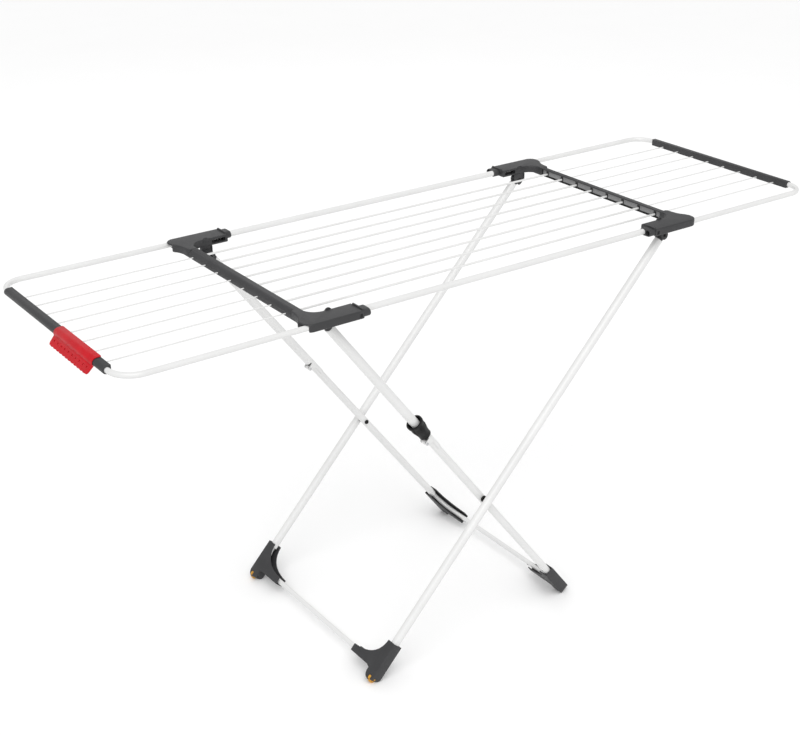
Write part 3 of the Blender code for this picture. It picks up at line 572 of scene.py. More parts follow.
class Workshop:
    """Turns shapes into finished pieces of the rack."""

    SHARP: ClassVar[float] = math.radians(38)
    EASED: ClassVar[float] = math.radians(40)

    @staticmethod
    def loose(name: str, shape: Shape) -> bpy.types.Object:
        """Return a shape as an object that isn't a piece yet."""
        return stand(name, shape.mesh(name))

    @staticmethod
    def carve(body: bpy.types.Object, added: Sequence[Shape], cut: Sequence[Shape]) -> None:
        """Join shapes to a body and cut others out of it.

        Args:
            body: The object that is changed.
            added: Shapes that become part of it.
            cut: Shapes that are taken away.
        """
        tools = []
        for operation, shapes in (("UNION", added), ("DIFFERENCE", cut)):
            for number, shape in enumerate(shapes):
                tool = Workshop.loose(f"tool_{operation.lower()}_{number}", shape)
                tools.append(tool)
                modifier = body.modifiers.new(tool.name, "BOOLEAN")
                modifier.operation = operation
                modifier.solver = "EXACT"
                modifier.object = tool
        bpy.context.view_layer.update()
        evaluated = body.evaluated_get(bpy.context.evaluated_depsgraph_get())
        result = bpy.data.meshes.new_from_object(evaluated)
        body.modifiers.clear()
        old = body.data
        body.data = result
        bpy.data.meshes.remove(old)
        for tool in tools:
            spare = tool.data
            bpy.data.objects.remove(tool, do_unlink=True)
            bpy.data.meshes.remove(spare)

    @staticmethod
    def ease(body: bpy.types.Object, width: float) -> None:
        """Round a piece's remaining hard edges with a live bevel."""
        modifier = body.modifiers.new("eased_edges", "BEVEL")
        modifier.width = width
        modifier.segments = 2
        modifier.limit_method = "ANGLE"
        modifier.angle_limit = Workshop.EASED
        modifier.use_clamp_overlap = True
        modifier.harden_normals = False

    @staticmethod
    def finish(piece: bpy.types.Object, finish: Finish, body: str, *nodes: str) -> None:
        """Dress a piece, ride it on its body and hide the CAD nodes it stands in for.

        Args:
            piece: The object.
            finish: Its finish.
            body: The body it moves with.
            nodes: The CAD nodes it replaces.
        """
        piece.data.materials.clear()
        piece.data.materials.append(finish.material())
        piece.data.shade_smooth()
        piece.data.set_sharp_from_angle(angle=Workshop.SHARP)
        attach(piece, body)
        if nodes:
            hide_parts(*nodes)
        LOG.info("%s rides on %s", piece.name, body)

    @staticmethod
    def piece(name: str, shape: Shape, finish: Finish, body: str, *nodes: str) -> None:
        """Make a finished piece straight from a shape."""
        Workshop.finish(Workshop.loose(name, shape), finish, body, *nodes)

    @staticmethod
    def dress_node(node: str, finish: Finish) -> None:
        """Give a CAD node that stays its procedural finish."""
        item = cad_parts[node]
        item.data.materials.clear()
        item.data.materials.append(finish.material())


def middle(node: str) -> Vector:
    """Return the middle of a CAD node's box."""
    low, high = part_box(node)
    return (low + high) / 2


def line_places() -> list[float]:
    """Return the Y of each line, as the frame has them."""
    return [middle(f"line_tube_{number}").y for number in LINES]


TABLE_Z = middle("side_rail_back").z
LINE_Z = middle("line_tube_1").z


# ---------------------------------------------------------------- tubes and lines
@dataclass
class Tubes:
    """The white tubes and rods that are plain runs: rails, lines and wing rods; the outer legs are built
    with their frame.
    """

    rail_wall: float = 0.0010
    line_wall: float = 0.0006
    rod_sides: int = 12
    line_sides: int = 16
    tube_sides: int = 32

    def straight(self, node: str, body: str, wall: float, sides: int) -> None:
        """Stand a smooth tube in for a level CAD tube.

        Args:
            node: The CAD node.
            body: Its body.
            wall: The tube's wall.
            sides: How many sides its round has.
        """
        low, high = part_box(node)
        start = (low.x, (low.y + high.y) / 2, (low.z + high.z) / 2)
        shape = Shape().pipe((high.z - low.z) / 2, wall, start, high.x - low.x, sides)
        Workshop.piece(node + "_tube", shape, POWDER_COAT, body, node)

    def rod(self, node: str, body: str) -> None:
        """Stand a smooth round rod in for a CAD rod."""
        low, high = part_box(node)
        _, y, z = (low + high) / 2
        shape = Shape().rod((high.z - low.z) / 2, (low.x, y, z), (high.x, y, z), self.rod_sides)
        Workshop.piece(node + "_bar", shape, POWDER_COAT, body, node)

    def build(self) -> None:
        """Build the rails, the line tubes and the wing rods."""
        for side in Side:
            self.straight(f"side_rail_{side.tag}", "table", self.rail_wall, self.tube_sides)
        for number in LINES:
            self.straight(f"line_tube_{number}", "table", self.line_wall, self.line_sides)
            for end in End:
                self.rod(f"wing_rod_{end.tag}_{number}", f"{end.tag}_wing")


# ---------------------------------------------------------------- crossbars
@dataclass
class Crossbar:
    """One crossbar with its two corner brackets, moulded in one piece."""

    end: End
    centre_x: float = 0.508
    width: float = 0.022
    height: float = 0.0168
    wall: float = 0.003
    shoulder: float = 0.002
    web_inset: float = 0.004
    web: float = 0.0025
    web_depth: float = 0.0215
    web_rise: float = 0.0004
    arm: float = 0.123
    overhang: float = 0.016
    floor: float = 0.0088
    roof: float = 0.009
    inner_y: float = 0.2489
    outer_y: float = 0.2973
    corner: float = 0.020
    fillet: float = 0.030
    rim: float = 0.003
    rail_y: float = 0.272
    rail_bore: float = 0.0073
    wing_y: float = 0.287
    wing_bore: float = 0.0063
    barrel: float = 0.015
    ear_y: float = 0.250
    ear: float = 0.003
    ear_half: float = 0.014
    ear_tip: float = 0.0065
    ear_shoulder: float = 0.001
    ear_root: float = 0.0015
    rib: Point = (0.0012, 0.0042)
    bump: Point = (0.009, 0.010)
    bump_root: float = 0.006
    pivot: Point = (0.455, 0.9002)
    pivot_hole: float = 0.0033
    gusset: float = 0.008
    flare: Point = (0.006, 0.042)
    flare_root: float = 0.004
    flare_end: float = 0.058
    barrel_rail: Point = (0.0105, 0.0086)
    barrel_wing: Point = (0.0094, 0.0082)
    barrel_lap: float = 0.002
    barrel_rim: float = 0.0015
    flange: float = 0.0045
    flange_rise: float = 0.0028
    flange_root: float = 0.003
    flange_foot: Point = (0.006, -0.003)
    flange_head: Point = (0.008, -0.004)
    flange_shift: float = 0.0005
    thin_rim: float = 0.0006
    past: float = 0.010
    window_x: Point = (0.021, 0.055)
    window_y: Point = (0.240, 0.272)
    window_z: Point = (-0.0045, 0.0045)
    slot_x: Point = (0.019, 0.026)
    slot_y: Point = (0.2938, 0.305)
    slot_z: Point = (-0.0050, 0.0030)
    pocket_x: Point = (-0.014, 0.010)
    pocket_y: Point = (0.262, 0.2935)
    pocket_z: Point = (-0.020, 0.007)
    tube_hole: float = 0.0029
    collar: Point = (0.0044, 0.0022)
    collar_gap: float = 0.0002
    skin: float = 0.0008
    skin_lap: float = 0.0001
    # Sizes of the painted light sheet and the painted shade strip on the web, and how far they stay clear of
    # the lines.
    painted_light_drop: float = 0.0036
    painted_light_gap: float = 0.0006
    line_clear: float = 0.0046
    bar_lap: float = 0.006
    eased: float = 0.0005

    @property
    def inner_x(self) -> float:
        """Return where the bracket's arm ends, towards the middle of the rack."""
        return self.centre_x - self.arm

    @property
    def outer_x(self) -> float:
        """Return where the bracket ends, towards the wing."""
        return self.centre_x + self.width / 2 + self.overhang

    @property
    def web_x(self) -> float:
        """Return the web's face, towards the middle of the rack."""
        return self.centre_x - self.width / 2 + self.web_inset

    @property
    def web_reach(self) -> float:
        """Return how far the web shows to each side, between the fillets of the two brackets."""
        return self.inner_y - self.fillet - 0.010

    def section(self) -> list[Point]:
        """Return the bar's section: a bulged outer wall, a flat top, and the web that carries the lines."""
        half = self.width / 2
        crown = self.height / 2
        web = -half + self.web_inset
        wide = half + self.shoulder
        outer = arc((-self.shoulder, -crown), (wide, 2 * crown), 0, 90, 12)
        inner = arc((-self.shoulder, -crown), (wide - self.wall, 2 * crown - self.wall), 90, 0, 10)
        points = [*outer, (-half, crown), (-half, crown - self.wall), (web, crown - self.wall)]
        points += [(web, crown - self.web_depth), (web + self.web, crown - self.web_depth)]
        points += [(web + self.web, crown - self.wall), *inner]
        return [(self.centre_x + x, TABLE_Z + z) for x, z in points]

    def plan(self) -> list[Point]:
        """Return a bracket's plan: an arm along the rails, a fillet and a gusset into the bar."""
        inner_edge = self.centre_x - self.width / 2 - CLEARANCE
        outer_edge = self.centre_x + self.width / 2
        root = self.inner_y - self.fillet - self.gusset
        points = [(self.inner_x + self.barrel, self.inner_y)]
        points += arc((inner_edge - self.fillet, self.inner_y - self.fillet), self.fillet, 90, 0, 12)
        points += [(inner_edge, root), (outer_edge - self.flare_root, root)]
        points += arc((self.outer_x, root + self.flare[0]), (self.overhang, self.flare[1]), 180, 108, 6)
        corner = (self.outer_x - self.corner, self.outer_y - self.corner)
        points += [(self.outer_x, root + self.flare_end), *arc(corner, self.corner, 0, 90, 10)]
        points += [(self.inner_x + self.barrel, self.outer_y)]
        return points

    def ear_outline(self) -> list[Point]:
        """Return the shield-shaped ear with a blunt V tip, in the XZ plane."""
        x, z = self.pivot
        top = TABLE_Z - self.floor + self.ear_root
        shoulder = z - self.ear_shoulder
        points = [(x + self.ear_half, top), (x + self.ear_half, shoulder)]
        points += arc((x, z - self.ear_tip), self.ear_tip, -40, -140, 8)
        points += [(x - self.ear_half, shoulder), (x - self.ear_half, top)]
        return points

    def along_y(self, outline: Sequence[Point], depth: float, y: float, edge: float = 0.0) -> Shape:
        """Return an XZ outline as a plate across Y.

        Args:
            outline: (x, z) points.
            depth: The plate's thickness.
            y: Where its middle lies.
            edge: The radius of its rims.

        Returns:
            The placed shape.
        """
        place = Matrix.Translation((0, y, 0)) @ ALONG_Y
        return Shape().plate(outline, depth, edge).move(place)

    def bracket(self, side: int) -> list[Shape]:
        """Return the shapes that make up one bracket.

        Args:
            side: 1 for the back, -1 for the front.

        Returns:
            The shapes, in the rack's right half.
        """
        top, bottom = TABLE_Z + self.roof, TABLE_Z - self.floor
        flip = Matrix.Diagonal((1, side, 1, 1))
        body = Shape().plate(self.plan(), top - bottom, self.rim, 4)
        body.move(flip @ Matrix.Translation((0, 0, (top + bottom) / 2)))
        barrel_section = arc((self.rail_y, TABLE_Z), self.barrel_rail, 90, 270, 12)
        barrel_section += arc((self.wing_y, TABLE_Z), self.barrel_wing, -90, 90, 10)
        barrel = Shape().plate(barrel_section, self.barrel + 2 * self.barrel_lap, self.barrel_rim)
        barrel.move(self._across(self.inner_x + self.barrel / 2, side))
        walls = (self.inner_y, self.outer_y)
        low, high = TABLE_Z + self.flange_root, top + self.flange_rise
        flange_section = [(wall + inset, low) for wall, inset in zip(walls, self.flange_foot)]
        flange_section += [(wall + inset, high) for wall, inset in zip(walls, self.flange_head)][::-1]
        flange = Shape().plate(flange_section, self.flange, self.skin)
        flange.move(self._across(self.inner_x + self.barrel + self.flange_shift, side))
        ear_y = side * self.ear_y
        ear = self.along_y(self.ear_outline(), self.ear, ear_y, self.thin_rim)
        thin, deep = self.rib
        ribs = [
            Shape().block(
                (x - thin, ear_y - deep, self.pivot[1] + 0.002),
                (x + thin, ear_y + deep, bottom + 0.001),
                0.0004,
            )
            for x in (self.pivot[0] + self.ear_half - thin, self.pivot[0] - self.ear_half + thin)
        ]
        bump_outline = arc((self.pivot[0], top - self.bump_root), self.bump, 0, 180, 16)
        bump = self.along_y(bump_outline, self.ear + 0.001, ear_y, self.skin)
        return [body, barrel, flange, ear, bump, *ribs]

    @staticmethod
    def _across(x: float, side: int) -> Matrix:
        """Return the matrix that stands a (y, z) outline across X at x."""
        turn = Matrix(((0, 0, 1, 0), (side, 0, 0, 0), (0, 1, 0, 0), (0, 0, 0, 1)))
        return Matrix.Translation((x, 0, 0)) @ turn

    def bracket_cuts(self, side: int) -> list[Shape]:
        """Return the bores, the window, the lock slot and the hollow underside of one bracket."""
        cuts = []
        start = self.inner_x - self.past
        for radius, y, end in (
            (self.rail_bore, side * self.rail_y, self.centre_x - 0.005),
            (self.wing_bore, side * self.wing_y, self.outer_x + self.past),
        ):
            cuts.append(Shape().rod(radius, (start, y, TABLE_Z), (end, y, TABLE_Z), 32))
        x, z = self.pivot
        pin = [(x, side * (self.ear_y + reach), z) for reach in (-0.006, 0.006)]
        cuts.append(Shape().rod(self.pivot_hole, *pin))
        for start, xs, ys, zs, edge in (
            (self.inner_x, self.window_x, self.window_y, self.window_z, self.barrel_rim),
            (self.inner_x, self.slot_x, self.slot_y, self.slot_z, self.thin_rim),
            (self.outer_x, self.pocket_x, self.pocket_y, self.pocket_z, 0.001),
        ):
            corners = [(start + across, side * along, TABLE_Z + up) for across, along, up in zip(xs, ys, zs)]
            cuts.append(Shape().block(*corners, edge))
        return cuts

    def line_cuts(self) -> list[Shape]:
        """Return the holes for the line tubes and for the rods inside them."""
        tube_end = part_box("line_tube_1")[1].x + CLEARANCE
        cuts = []
        for y in line_places():
            for radius, near, far, sides in ((self.tube_hole, -0.04, 0, 16), (ROD_HOLE, -0.001, 0.04, 12)):
                ends = [(tube_end + reach, y, LINE_Z) for reach in (near, far)]
                cuts.append(Shape().rod(radius, *ends, sides))
        return cuts

    def sleeves(self) -> Shape:
        """Return the short collars that the web carries round each line tube."""
        bore, (radius, height) = self.tube_hole, self.collar
        profile = [(bore, 0), (radius, 0), (radius, height), (bore, height)]
        shape = Shape()
        turn = Matrix.Rotation(-math.pi / 2, 4, "Y")
        for y in line_places():
            place = Matrix.Translation((self.web_x - self.collar_gap, y, LINE_Z)) @ turn
            collar = Shape().turned(profile, 20, True).move(place)
            spare = collar.mesh("collar")
            shape.bm.from_mesh(spare)
            bpy.data.meshes.remove(spare)
        return shape

    def painted_light_sheet(self) -> Shape:
        """Return a paler sheet on the web, between the fillets of the two brackets: painted light for the
        web's lit band.
        """
        top = TABLE_Z + self.height / 2 - self.wall - self.painted_light_gap
        ys = sorted(line_places())
        edges = [-self.web_reach, *ys, self.web_reach]
        shape = Shape()
        for first, second in zip(edges, edges[1:]):
            low_y = first + (self.line_clear if first in ys else 0)
            high_y = second - (self.line_clear if second in ys else 0)
            low = (self.web_x - self.skin, low_y, LINE_Z - self.painted_light_drop)
            shape.block(low, (self.web_x - self.skin_lap, high_y, top))
        return shape

    def web_painted_shade(self) -> Shape:
        """Return a black strip on the lower web, under the lines: painted shade where that part of the web
        lies in shadow.
        """
        bottom = TABLE_Z + self.height / 2 - self.web_depth + self.web_rise
        low = (self.web_x - self.skin, -self.web_reach, bottom)
        return Shape().block(low, (self.web_x - self.skin_lap, self.web_reach, LINE_Z - self.line_clear))

    def build(self) -> None:
        """Build the crossbar and mirror it to its own end."""
        flip = Matrix.Diagonal((self.end.value, 1, 1, 1))
        length = 2 * (self.inner_y + self.bar_lap)
        name = f"crossbar_{self.end.tag}"
        bar = Workshop.loose(name + "_moulding", self.along_y(self.section(), length, 0).move(flip))
        added = [shape.move(flip) for side in (1, -1) for shape in self.bracket(side)]
        cuts = [shape.move(flip) for side in (1, -1) for shape in self.bracket_cuts(side)]
        cuts += [shape.move(flip) for shape in self.line_cuts()]
        Workshop.carve(bar, added, cuts)
        Workshop.ease(bar, self.eased)
        Workshop.finish(bar, GREY_MOULDING, "table", name)
        # The collars, then a painted light sheet and a painted shade strip on the web.
        for word, shape, finish in (
            ("collars", self.sleeves(), GREY_MOULDING),
            ("web_painted_light", self.painted_light_sheet(), GREY_PAINTED_LIGHT),
            ("web_painted_shade", self.web_painted_shade(), BLACK_MOULDING),
        ):
            Workshop.piece(f"{name}_{word}", shape.move(flip), finish, "table")


# ---------------------------------------------------------------- wings
@dataclass
class Wing:
    """One pull-out wing: its bent tube and its end bar; the left wing's hand grip is built on its own."""

    end: End
    tube_radius: float = 0.006
    tube_wall: float = 0.001
    tube_y: float = 0.287
    tube_end_x: float = 0.395
    bar_x: float = 0.921
    bend: float = 0.050
    bar_half: float = 0.235
    bulge: float = 0.0095
    lip: float = 0.0085
    bar_wall: float = 0.002
    notch: Point = (0.0018, 0.0026)

    @property
    def body(self) -> str:
        """Return the name of the body that this wing is."""
        return f"{self.end.tag}_wing"

    @property
    def bore(self) -> float:
        """Return the radius of the end bar's bore, in which the tube lies."""
        return self.tube_radius + CLEARANCE

    def tube(self) -> Shape:
        """Return the U-shaped tube."""
        arm = self.bar_x - self.bend - self.tube_end_x
        corner = (self.bar_x, self.tube_y)
        shape = Shape().u_pipe(self.tube_radius, self.tube_wall, corner, arm, self.bend, 24, 14)
        return shape.move(Matrix.Translation((0, 0, TABLE_Z)))

    def bar(self) -> Shape:
        """Return the end bar's section as a long moulding with eased ends."""
        half = self.bore + self.bar_wall
        outline = [(-self.lip, -half), *arc((0, 0), (self.bulge, half), -90, 90, 18), (-self.lip, half)]
        points = [(self.bar_x + x, TABLE_Z + z) for x, z in outline]
        return Shape().plate(points, 2 * self.bar_half, 0.0012).move(ALONG_Y)

    def bar_cuts(self) -> list[Shape]:
        """Return the tube's bore, and a notch and a hole at each rod."""
        reach = self.bar_half + 0.01
        cuts = [Shape().rod(self.bore, (self.bar_x, -reach, TABLE_Z), (self.bar_x, reach, TABLE_Z), 32)]
        inner_x = self.bar_x - self.lip - 0.002
        bottom = TABLE_Z - self.bore - self.bar_wall - 0.002
        deep, half = self.notch
        for y in line_places():
            top = (self.bar_x - self.lip + deep, y + half, LINE_Z - 0.0012)
            cuts.append(Shape().block((inner_x, y - half, bottom), top))
            hole_end = (self.bar_x - self.tube_radius + 0.001, y, LINE_Z)
            cuts.append(Shape().rod(ROD_HOLE, (inner_x, y, LINE_Z), hole_end, 12))
        return cuts

    def build(self) -> None:
        """Build the wing's tube and end bar."""
        flip = Matrix.Diagonal((self.end.value, 1, 1, 1))
        tube = f"wing_tube_{self.end.tag}"
        Workshop.piece(tube + "_bent", self.tube().move(flip), POWDER_COAT, self.body, tube)
        bar = Workshop.loose(f"end_bar_{self.end.tag}_moulding", self.bar().move(flip))
        Workshop.carve(bar, [], [shape.move(flip) for shape in self.bar_cuts()])
        Workshop.finish(bar, GREY_MOULDING, self.body, f"end_bar_{self.end.tag}")


@dataclass
class HandGrip:
    """The clip-on grip over the left end bar: a shell, a row of small holes below its crease and a wavy
    flap.
    """

    bar_x: float = 0.921
    bulge: float = 0.0095
    half: float = 0.0083
    wall: float = 0.0022
    hook: float = 0.009
    flap_reach: float = 0.012
    flap_drop: float = 0.012
    crease: float = 0.4
    holes: int = 10
    hole_radius: float = 0.0022
    hole_up: float = 0.0125
    hole_margin: float = 0.013
    scallops: int = 13
    bite: float = 0.32
    bite_drop: float = 0.0026
    corner: float = 0.010

    def outline(self) -> list[Point]:
        """Return the grip's section, an open hook with a flap below."""
        inner_x, inner_z = self.bulge + CLEARANCE, self.half + CLEARANCE
        outer_x, outer_z = inner_x + self.wall, inner_z + self.wall
        flap = (inner_x + self.flap_reach, -self.half - self.flap_drop)
        outer = [(-self.hook, outer_z), *arc((0, 0), (outer_x, outer_z), 90, -20, 16)]
        outer += [(flap[0] + self.wall, flap[1] + 0.001), flap]
        inner = [*arc((0, 0), (inner_x, inner_z), -45, 90, 16), (-self.hook, inner_z)]
        return [(-self.bar_x - x, TABLE_Z + z) for x, z in [*outer, *inner]]

    def flap_frame(self, y: float) -> Matrix:
        """Return the flap's axes at its lower edge: X along the rack's Y, Y up the flap, Z through it."""
        shell_x = self.bulge + CLEARANCE + self.wall / 2
        tip = Vector((shell_x + self.flap_reach, 0, -self.half - self.flap_drop))
        crease = Vector((shell_x, 0, -self.half * self.crease))
        up = (crease - tip).normalized()
        across = Vector((0, 1, 0))
        through = across.cross(up)
        turn = Matrix((across, up, through)).transposed().to_4x4()
        flip = Matrix.Diagonal((-1, 1, 1, 1))
        return Matrix.Translation((-self.bar_x, y, TABLE_Z)) @ flip @ Matrix.Translation(tip) @ turn

    def scallop_cuts(self, start: float, length: float) -> list[Shape]:
        """Return the fine bites along the flap's lower edge."""
        pitch = length / self.scallops
        bites = []
        for number in range(self.scallops):
            ends = [(0, -self.bite_drop, depth) for depth in (-0.01, 0.01)]
            bite = Shape().rod(pitch * self.bite, *ends, 16)
            bites.append(bite.move(self.flap_frame(start + pitch * (number + 0.5))))
        return bites

    def hole_cuts(self, start: float, length: float) -> list[Shape]:
        """Return the row of small round holes below the crease."""
        spacing = (length - 2 * self.hole_margin) / (self.holes - 1)
        cuts = []
        for number in range(self.holes):
            ends = [(0, self.hole_up, depth) for depth in (-0.006, 0.006)]
            place = self.flap_frame(start + self.hole_margin + spacing * number)
            cuts.append(Shape().rod(self.hole_radius, *ends, 16).move(place))
        return cuts

    def corner_cut(self, y: float, inwards: int) -> Shape:
        """Return the cutter that rounds one lower corner of the flap.

        Args:
            y: Where the grip ends.
            inwards: 1 where the grip lies towards +Y, else -1.

        Returns:
            The cutter.
        """
        size = self.corner
        outline = [(-0.001, -0.003), (size, -0.003), *arc((size, size - 0.001), size, 270, 180, 8)]
        outline += [(-0.001, size)]
        points = [(inwards * x, up) for x, up in outline]
        return Shape().plate(points, 0.012).move(self.flap_frame(y))

    def build(self) -> None:
        """Build the grip."""
        low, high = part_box("hand_grip")
        length = high.y - low.y
        centre_y = (low.y + high.y) / 2
        place = Matrix.Translation((0, centre_y, 0)) @ ALONG_Y
        shell = Workshop.loose("hand_grip_shell", Shape().plate(self.outline(), length, 0.0009).move(place))
        cuts = self.scallop_cuts(low.y, length) + self.hole_cuts(low.y, length)
        cuts += [self.corner_cut(low.y, 1), self.corner_cut(high.y, -1)]
        Workshop.carve(shell, [], cuts)
        Workshop.finish(shell, RED_MOULDING, "left_wing", "hand_grip")


# ---------------------------------------------------------------- leg frames
@dataclass
class LegFrame:
    """What both leg frames share: a pair of legs in a leaning plane, a foot bar and two corner feet."""

    body: str
    foot_end: End
    top: tuple[float, float]
    foot_x: float
    plane_y: float
    tube_radius: float
    foot_z: float = 0.030
    bend: float = 0.050
    bar_radius: float = 0.006
    bar_wall: float = 0.001
    plugged: float = 0.040
    channel: float = 0.0206
    foot_wall: float = 0.0025
    arm_up: float = 0.065
    arm_in: float = 0.095
    lobe: float = 0.016
    lobe_reach: float = 0.034
    lobe_step: Point = (0.003, 0.010)
    edge_pull: Point = (0.012, 0.016)
    shoulder: float = 0.0045
    past: float = 0.020
    leg_sides: int = 32

    @property
    def length(self) -> float:
        """Return the distance down a leg from its pivot to its foot."""
        return math.hypot(self.foot_x - self.top[0], self.top[1] - self.foot_z)

    @property
    def place(self) -> Matrix:
        """Return the matrix from the frame's own plane, +X down the leg, to the rack."""
        tilt = math.atan2(self.top[1] - self.foot_z, self.foot_x - self.top[0])
        return Matrix.Translation((self.top[0], 0, self.top[1])) @ Matrix.Rotation(tilt, 4, "Y")

    def leg(self, side: int, start: float, end: float, radius: float, wall: float) -> Shape:
        """Return one straight leg tube between two distances down the leg."""
        place = (start, side * self.plane_y, 0)
        return Shape().pipe(radius, wall, place, end - start, self.leg_sides).move(self.place)

    def foot_bar(self) -> Shape:
        """Return the thin bent tube between the feet."""
        corner = (self.length, self.plane_y)
        shape = Shape().u_pipe(self.bar_radius, self.bar_wall, corner, self.plugged, self.bend, 20, 12)
        return shape.move(self.place)

    def foot_outline(self) -> list[Point]:
        """Return a corner foot as (distance up the leg, distance inwards) points."""
        rim = self.channel / 2 + self.foot_wall
        lobe_in = self.lobe - rim
        lobe_up = self.lobe - self.lobe_reach
        bar_rim = self.bar_radius + CLEARANCE + self.foot_wall
        edge = lobe_in + self.lobe
        points = [(self.arm_up, -rim), *arc((lobe_up, lobe_in), self.lobe, -90, -270, 16)]
        points += [(-bar_rim - self.lobe_step[0], edge), (-bar_rim, edge + self.lobe_step[1])]
        points += [(-bar_rim, self.arm_in)]
        return points + sag((bar_rim, self.arm_in), self.edge_pull, (self.arm_up, rim), 16)

    def foot_channel(self) -> list[Point]:
        """Return the space inside a corner foot, open on its inner side."""
        wide = self.channel / 2
        narrow = self.bar_radius + CLEARANCE
        shoulder = self.bend + self.shoulder
        up, inwards = self.arm_up + self.past, self.arm_in + self.past
        points = [(up, -wide), (shoulder, -wide), (shoulder, -narrow)]
        points += arc((self.bend, self.bend), self.bend + narrow, -90, -180, 12)
        return [*points, (-narrow, inwards), (up, inwards)]

    def foot_plate(self, side: int, outline: Sequence[Point], depth: float, edge: float = 0.0) -> Shape:
        """Return an outline of (up the leg, inwards) points as a plate in the leg's plane."""
        points = [(self.length - up, side * (self.plane_y - inwards)) for up, inwards in outline]
        return Shape().plate(points, depth, edge, 3).move(self.place)

    def foot_cuts(self, side: int) -> list[Shape]:
        """Return what is cut from a foot besides its channel."""
        return []

    def foot_details(self, side: int) -> None:
        """Add the small pieces that a foot carries."""

    def build_feet(self) -> None:
        """Build the foot bar and the two corner feet."""
        bar = f"foot_bar_{self.foot_end.tag}"
        Workshop.piece(bar + "_bent", self.foot_bar(), POWDER_COAT, self.body, bar)
        for side in Side:
            name = f"foot_{self.foot_end.tag}_{side.tag}"
            depth = self.channel + 2 * self.foot_wall
            block = self.foot_plate(side.value, self.foot_outline(), depth, 0.0014)
            foot = Workshop.loose(name + "_moulding", block)
            channel = self.foot_plate(side.value, self.foot_channel(), self.channel)
            under_floor = Shape().block((-1, -1, -1), (1, 1, 0))
            Workshop.carve(foot, [], [channel, under_floor, *self.foot_cuts(side.value)])
            Workshop.finish(foot, GREY_MOULDING, self.body, name)
            self.foot_details(side.value)

    def screw(self, name: str, side: int, up: float, inwards: float, out: float) -> None:
        """Add a small domed screw on a foot's tube.

        Args:
            name: The piece's name.
            side: 1 for the back, -1 for the front.
            up: The distance up the leg.
            inwards: The distance inwards.
            out: How far its seat stands out of the leg's plane.
        """
        shape = Shape().turned([(0, 0.0016), (0.0016, 0.0013), (0.0026, 0.0005), (0.0027, 0), (0, 0)], 16)
        seat = Matrix.Translation((self.length - up, side * (self.plane_y - inwards), out))
        Workshop.piece(name, shape.move(self.place @ seat), BLACK_MOULDING, self.body)


@dataclass
class OuterFrame(LegFrame):
    """The outer frame: two long legs and the two feet that carry the wheels."""

    body: str = "outer_frame"
    foot_end: End = End.LEFT
    top: tuple[float, float] = (0.455, 0.9002)
    foot_x: float = -0.352
    plane_y: float = 0.2625
    tube_radius: float = 0.010
    wheel_radius: float = 0.011
    wheel_width: float = 0.008
    axle_radius: float = 0.002
    axle_length: float = 0.020
    side_play: float = 0.0005
    slot_play: float = 0.0008
    tube_wall: float = 0.001
    tube_start: float = 0.0145
    tube_short: float = 0.005

    def foot_cuts(self, side: int) -> list[Shape]:
        """Return the wheel's slot and its axle's hole."""
        hub = middle(f"wheel_{Side(side).tag}")
        half = Vector((0, self.wheel_width / 2 + self.side_play, 0))
        slot = Shape().rod(self.wheel_radius + self.slot_play, hub - half, hub + half, 40)
        reach = Vector((0, self.axle_length, 0))
        return [slot, Shape().rod(self.axle_radius + CLEARANCE, hub - reach, hub + reach, 20)]

    def wheel(self, side: Side) -> None:
        """Build a wheel with a crowned tread, a dished face and its stub axles."""
        node = f"wheel_{side.tag}"
        half, rim, axle = self.wheel_width / 2, self.wheel_radius, self.axle_radius
        end, dish = self.axle_length / 2, half - 0.0012
        profile = [(0, end), (axle, end), (axle, dish), (0.0045, dish), (0.0062, half)]
        profile += [(rim - 0.0014, half), (rim - 0.0004, half - 0.0006), (rim, half - 0.0018)]
        profile += [(radius, -height) for radius, height in reversed(profile)]
        shape = Shape().turned(profile, 40).move(Matrix.Translation(middle(node)) @ ALONG_Y)
        Workshop.piece(node + "_roller", shape, AMBER_MOULDING, node, node)

    def build(self) -> None:
        """Build the legs, feet and wheels."""
        for side in Side:
            node = f"outer_leg_{side.tag}"
            end = self.length - self.bend - self.tube_short
            leg = self.leg(side.value, self.tube_start, end, self.tube_radius, self.tube_wall)
            Workshop.piece(node + "_tube", leg, POWDER_COAT, self.body, node)
            self.wheel(side)
        self.build_feet()


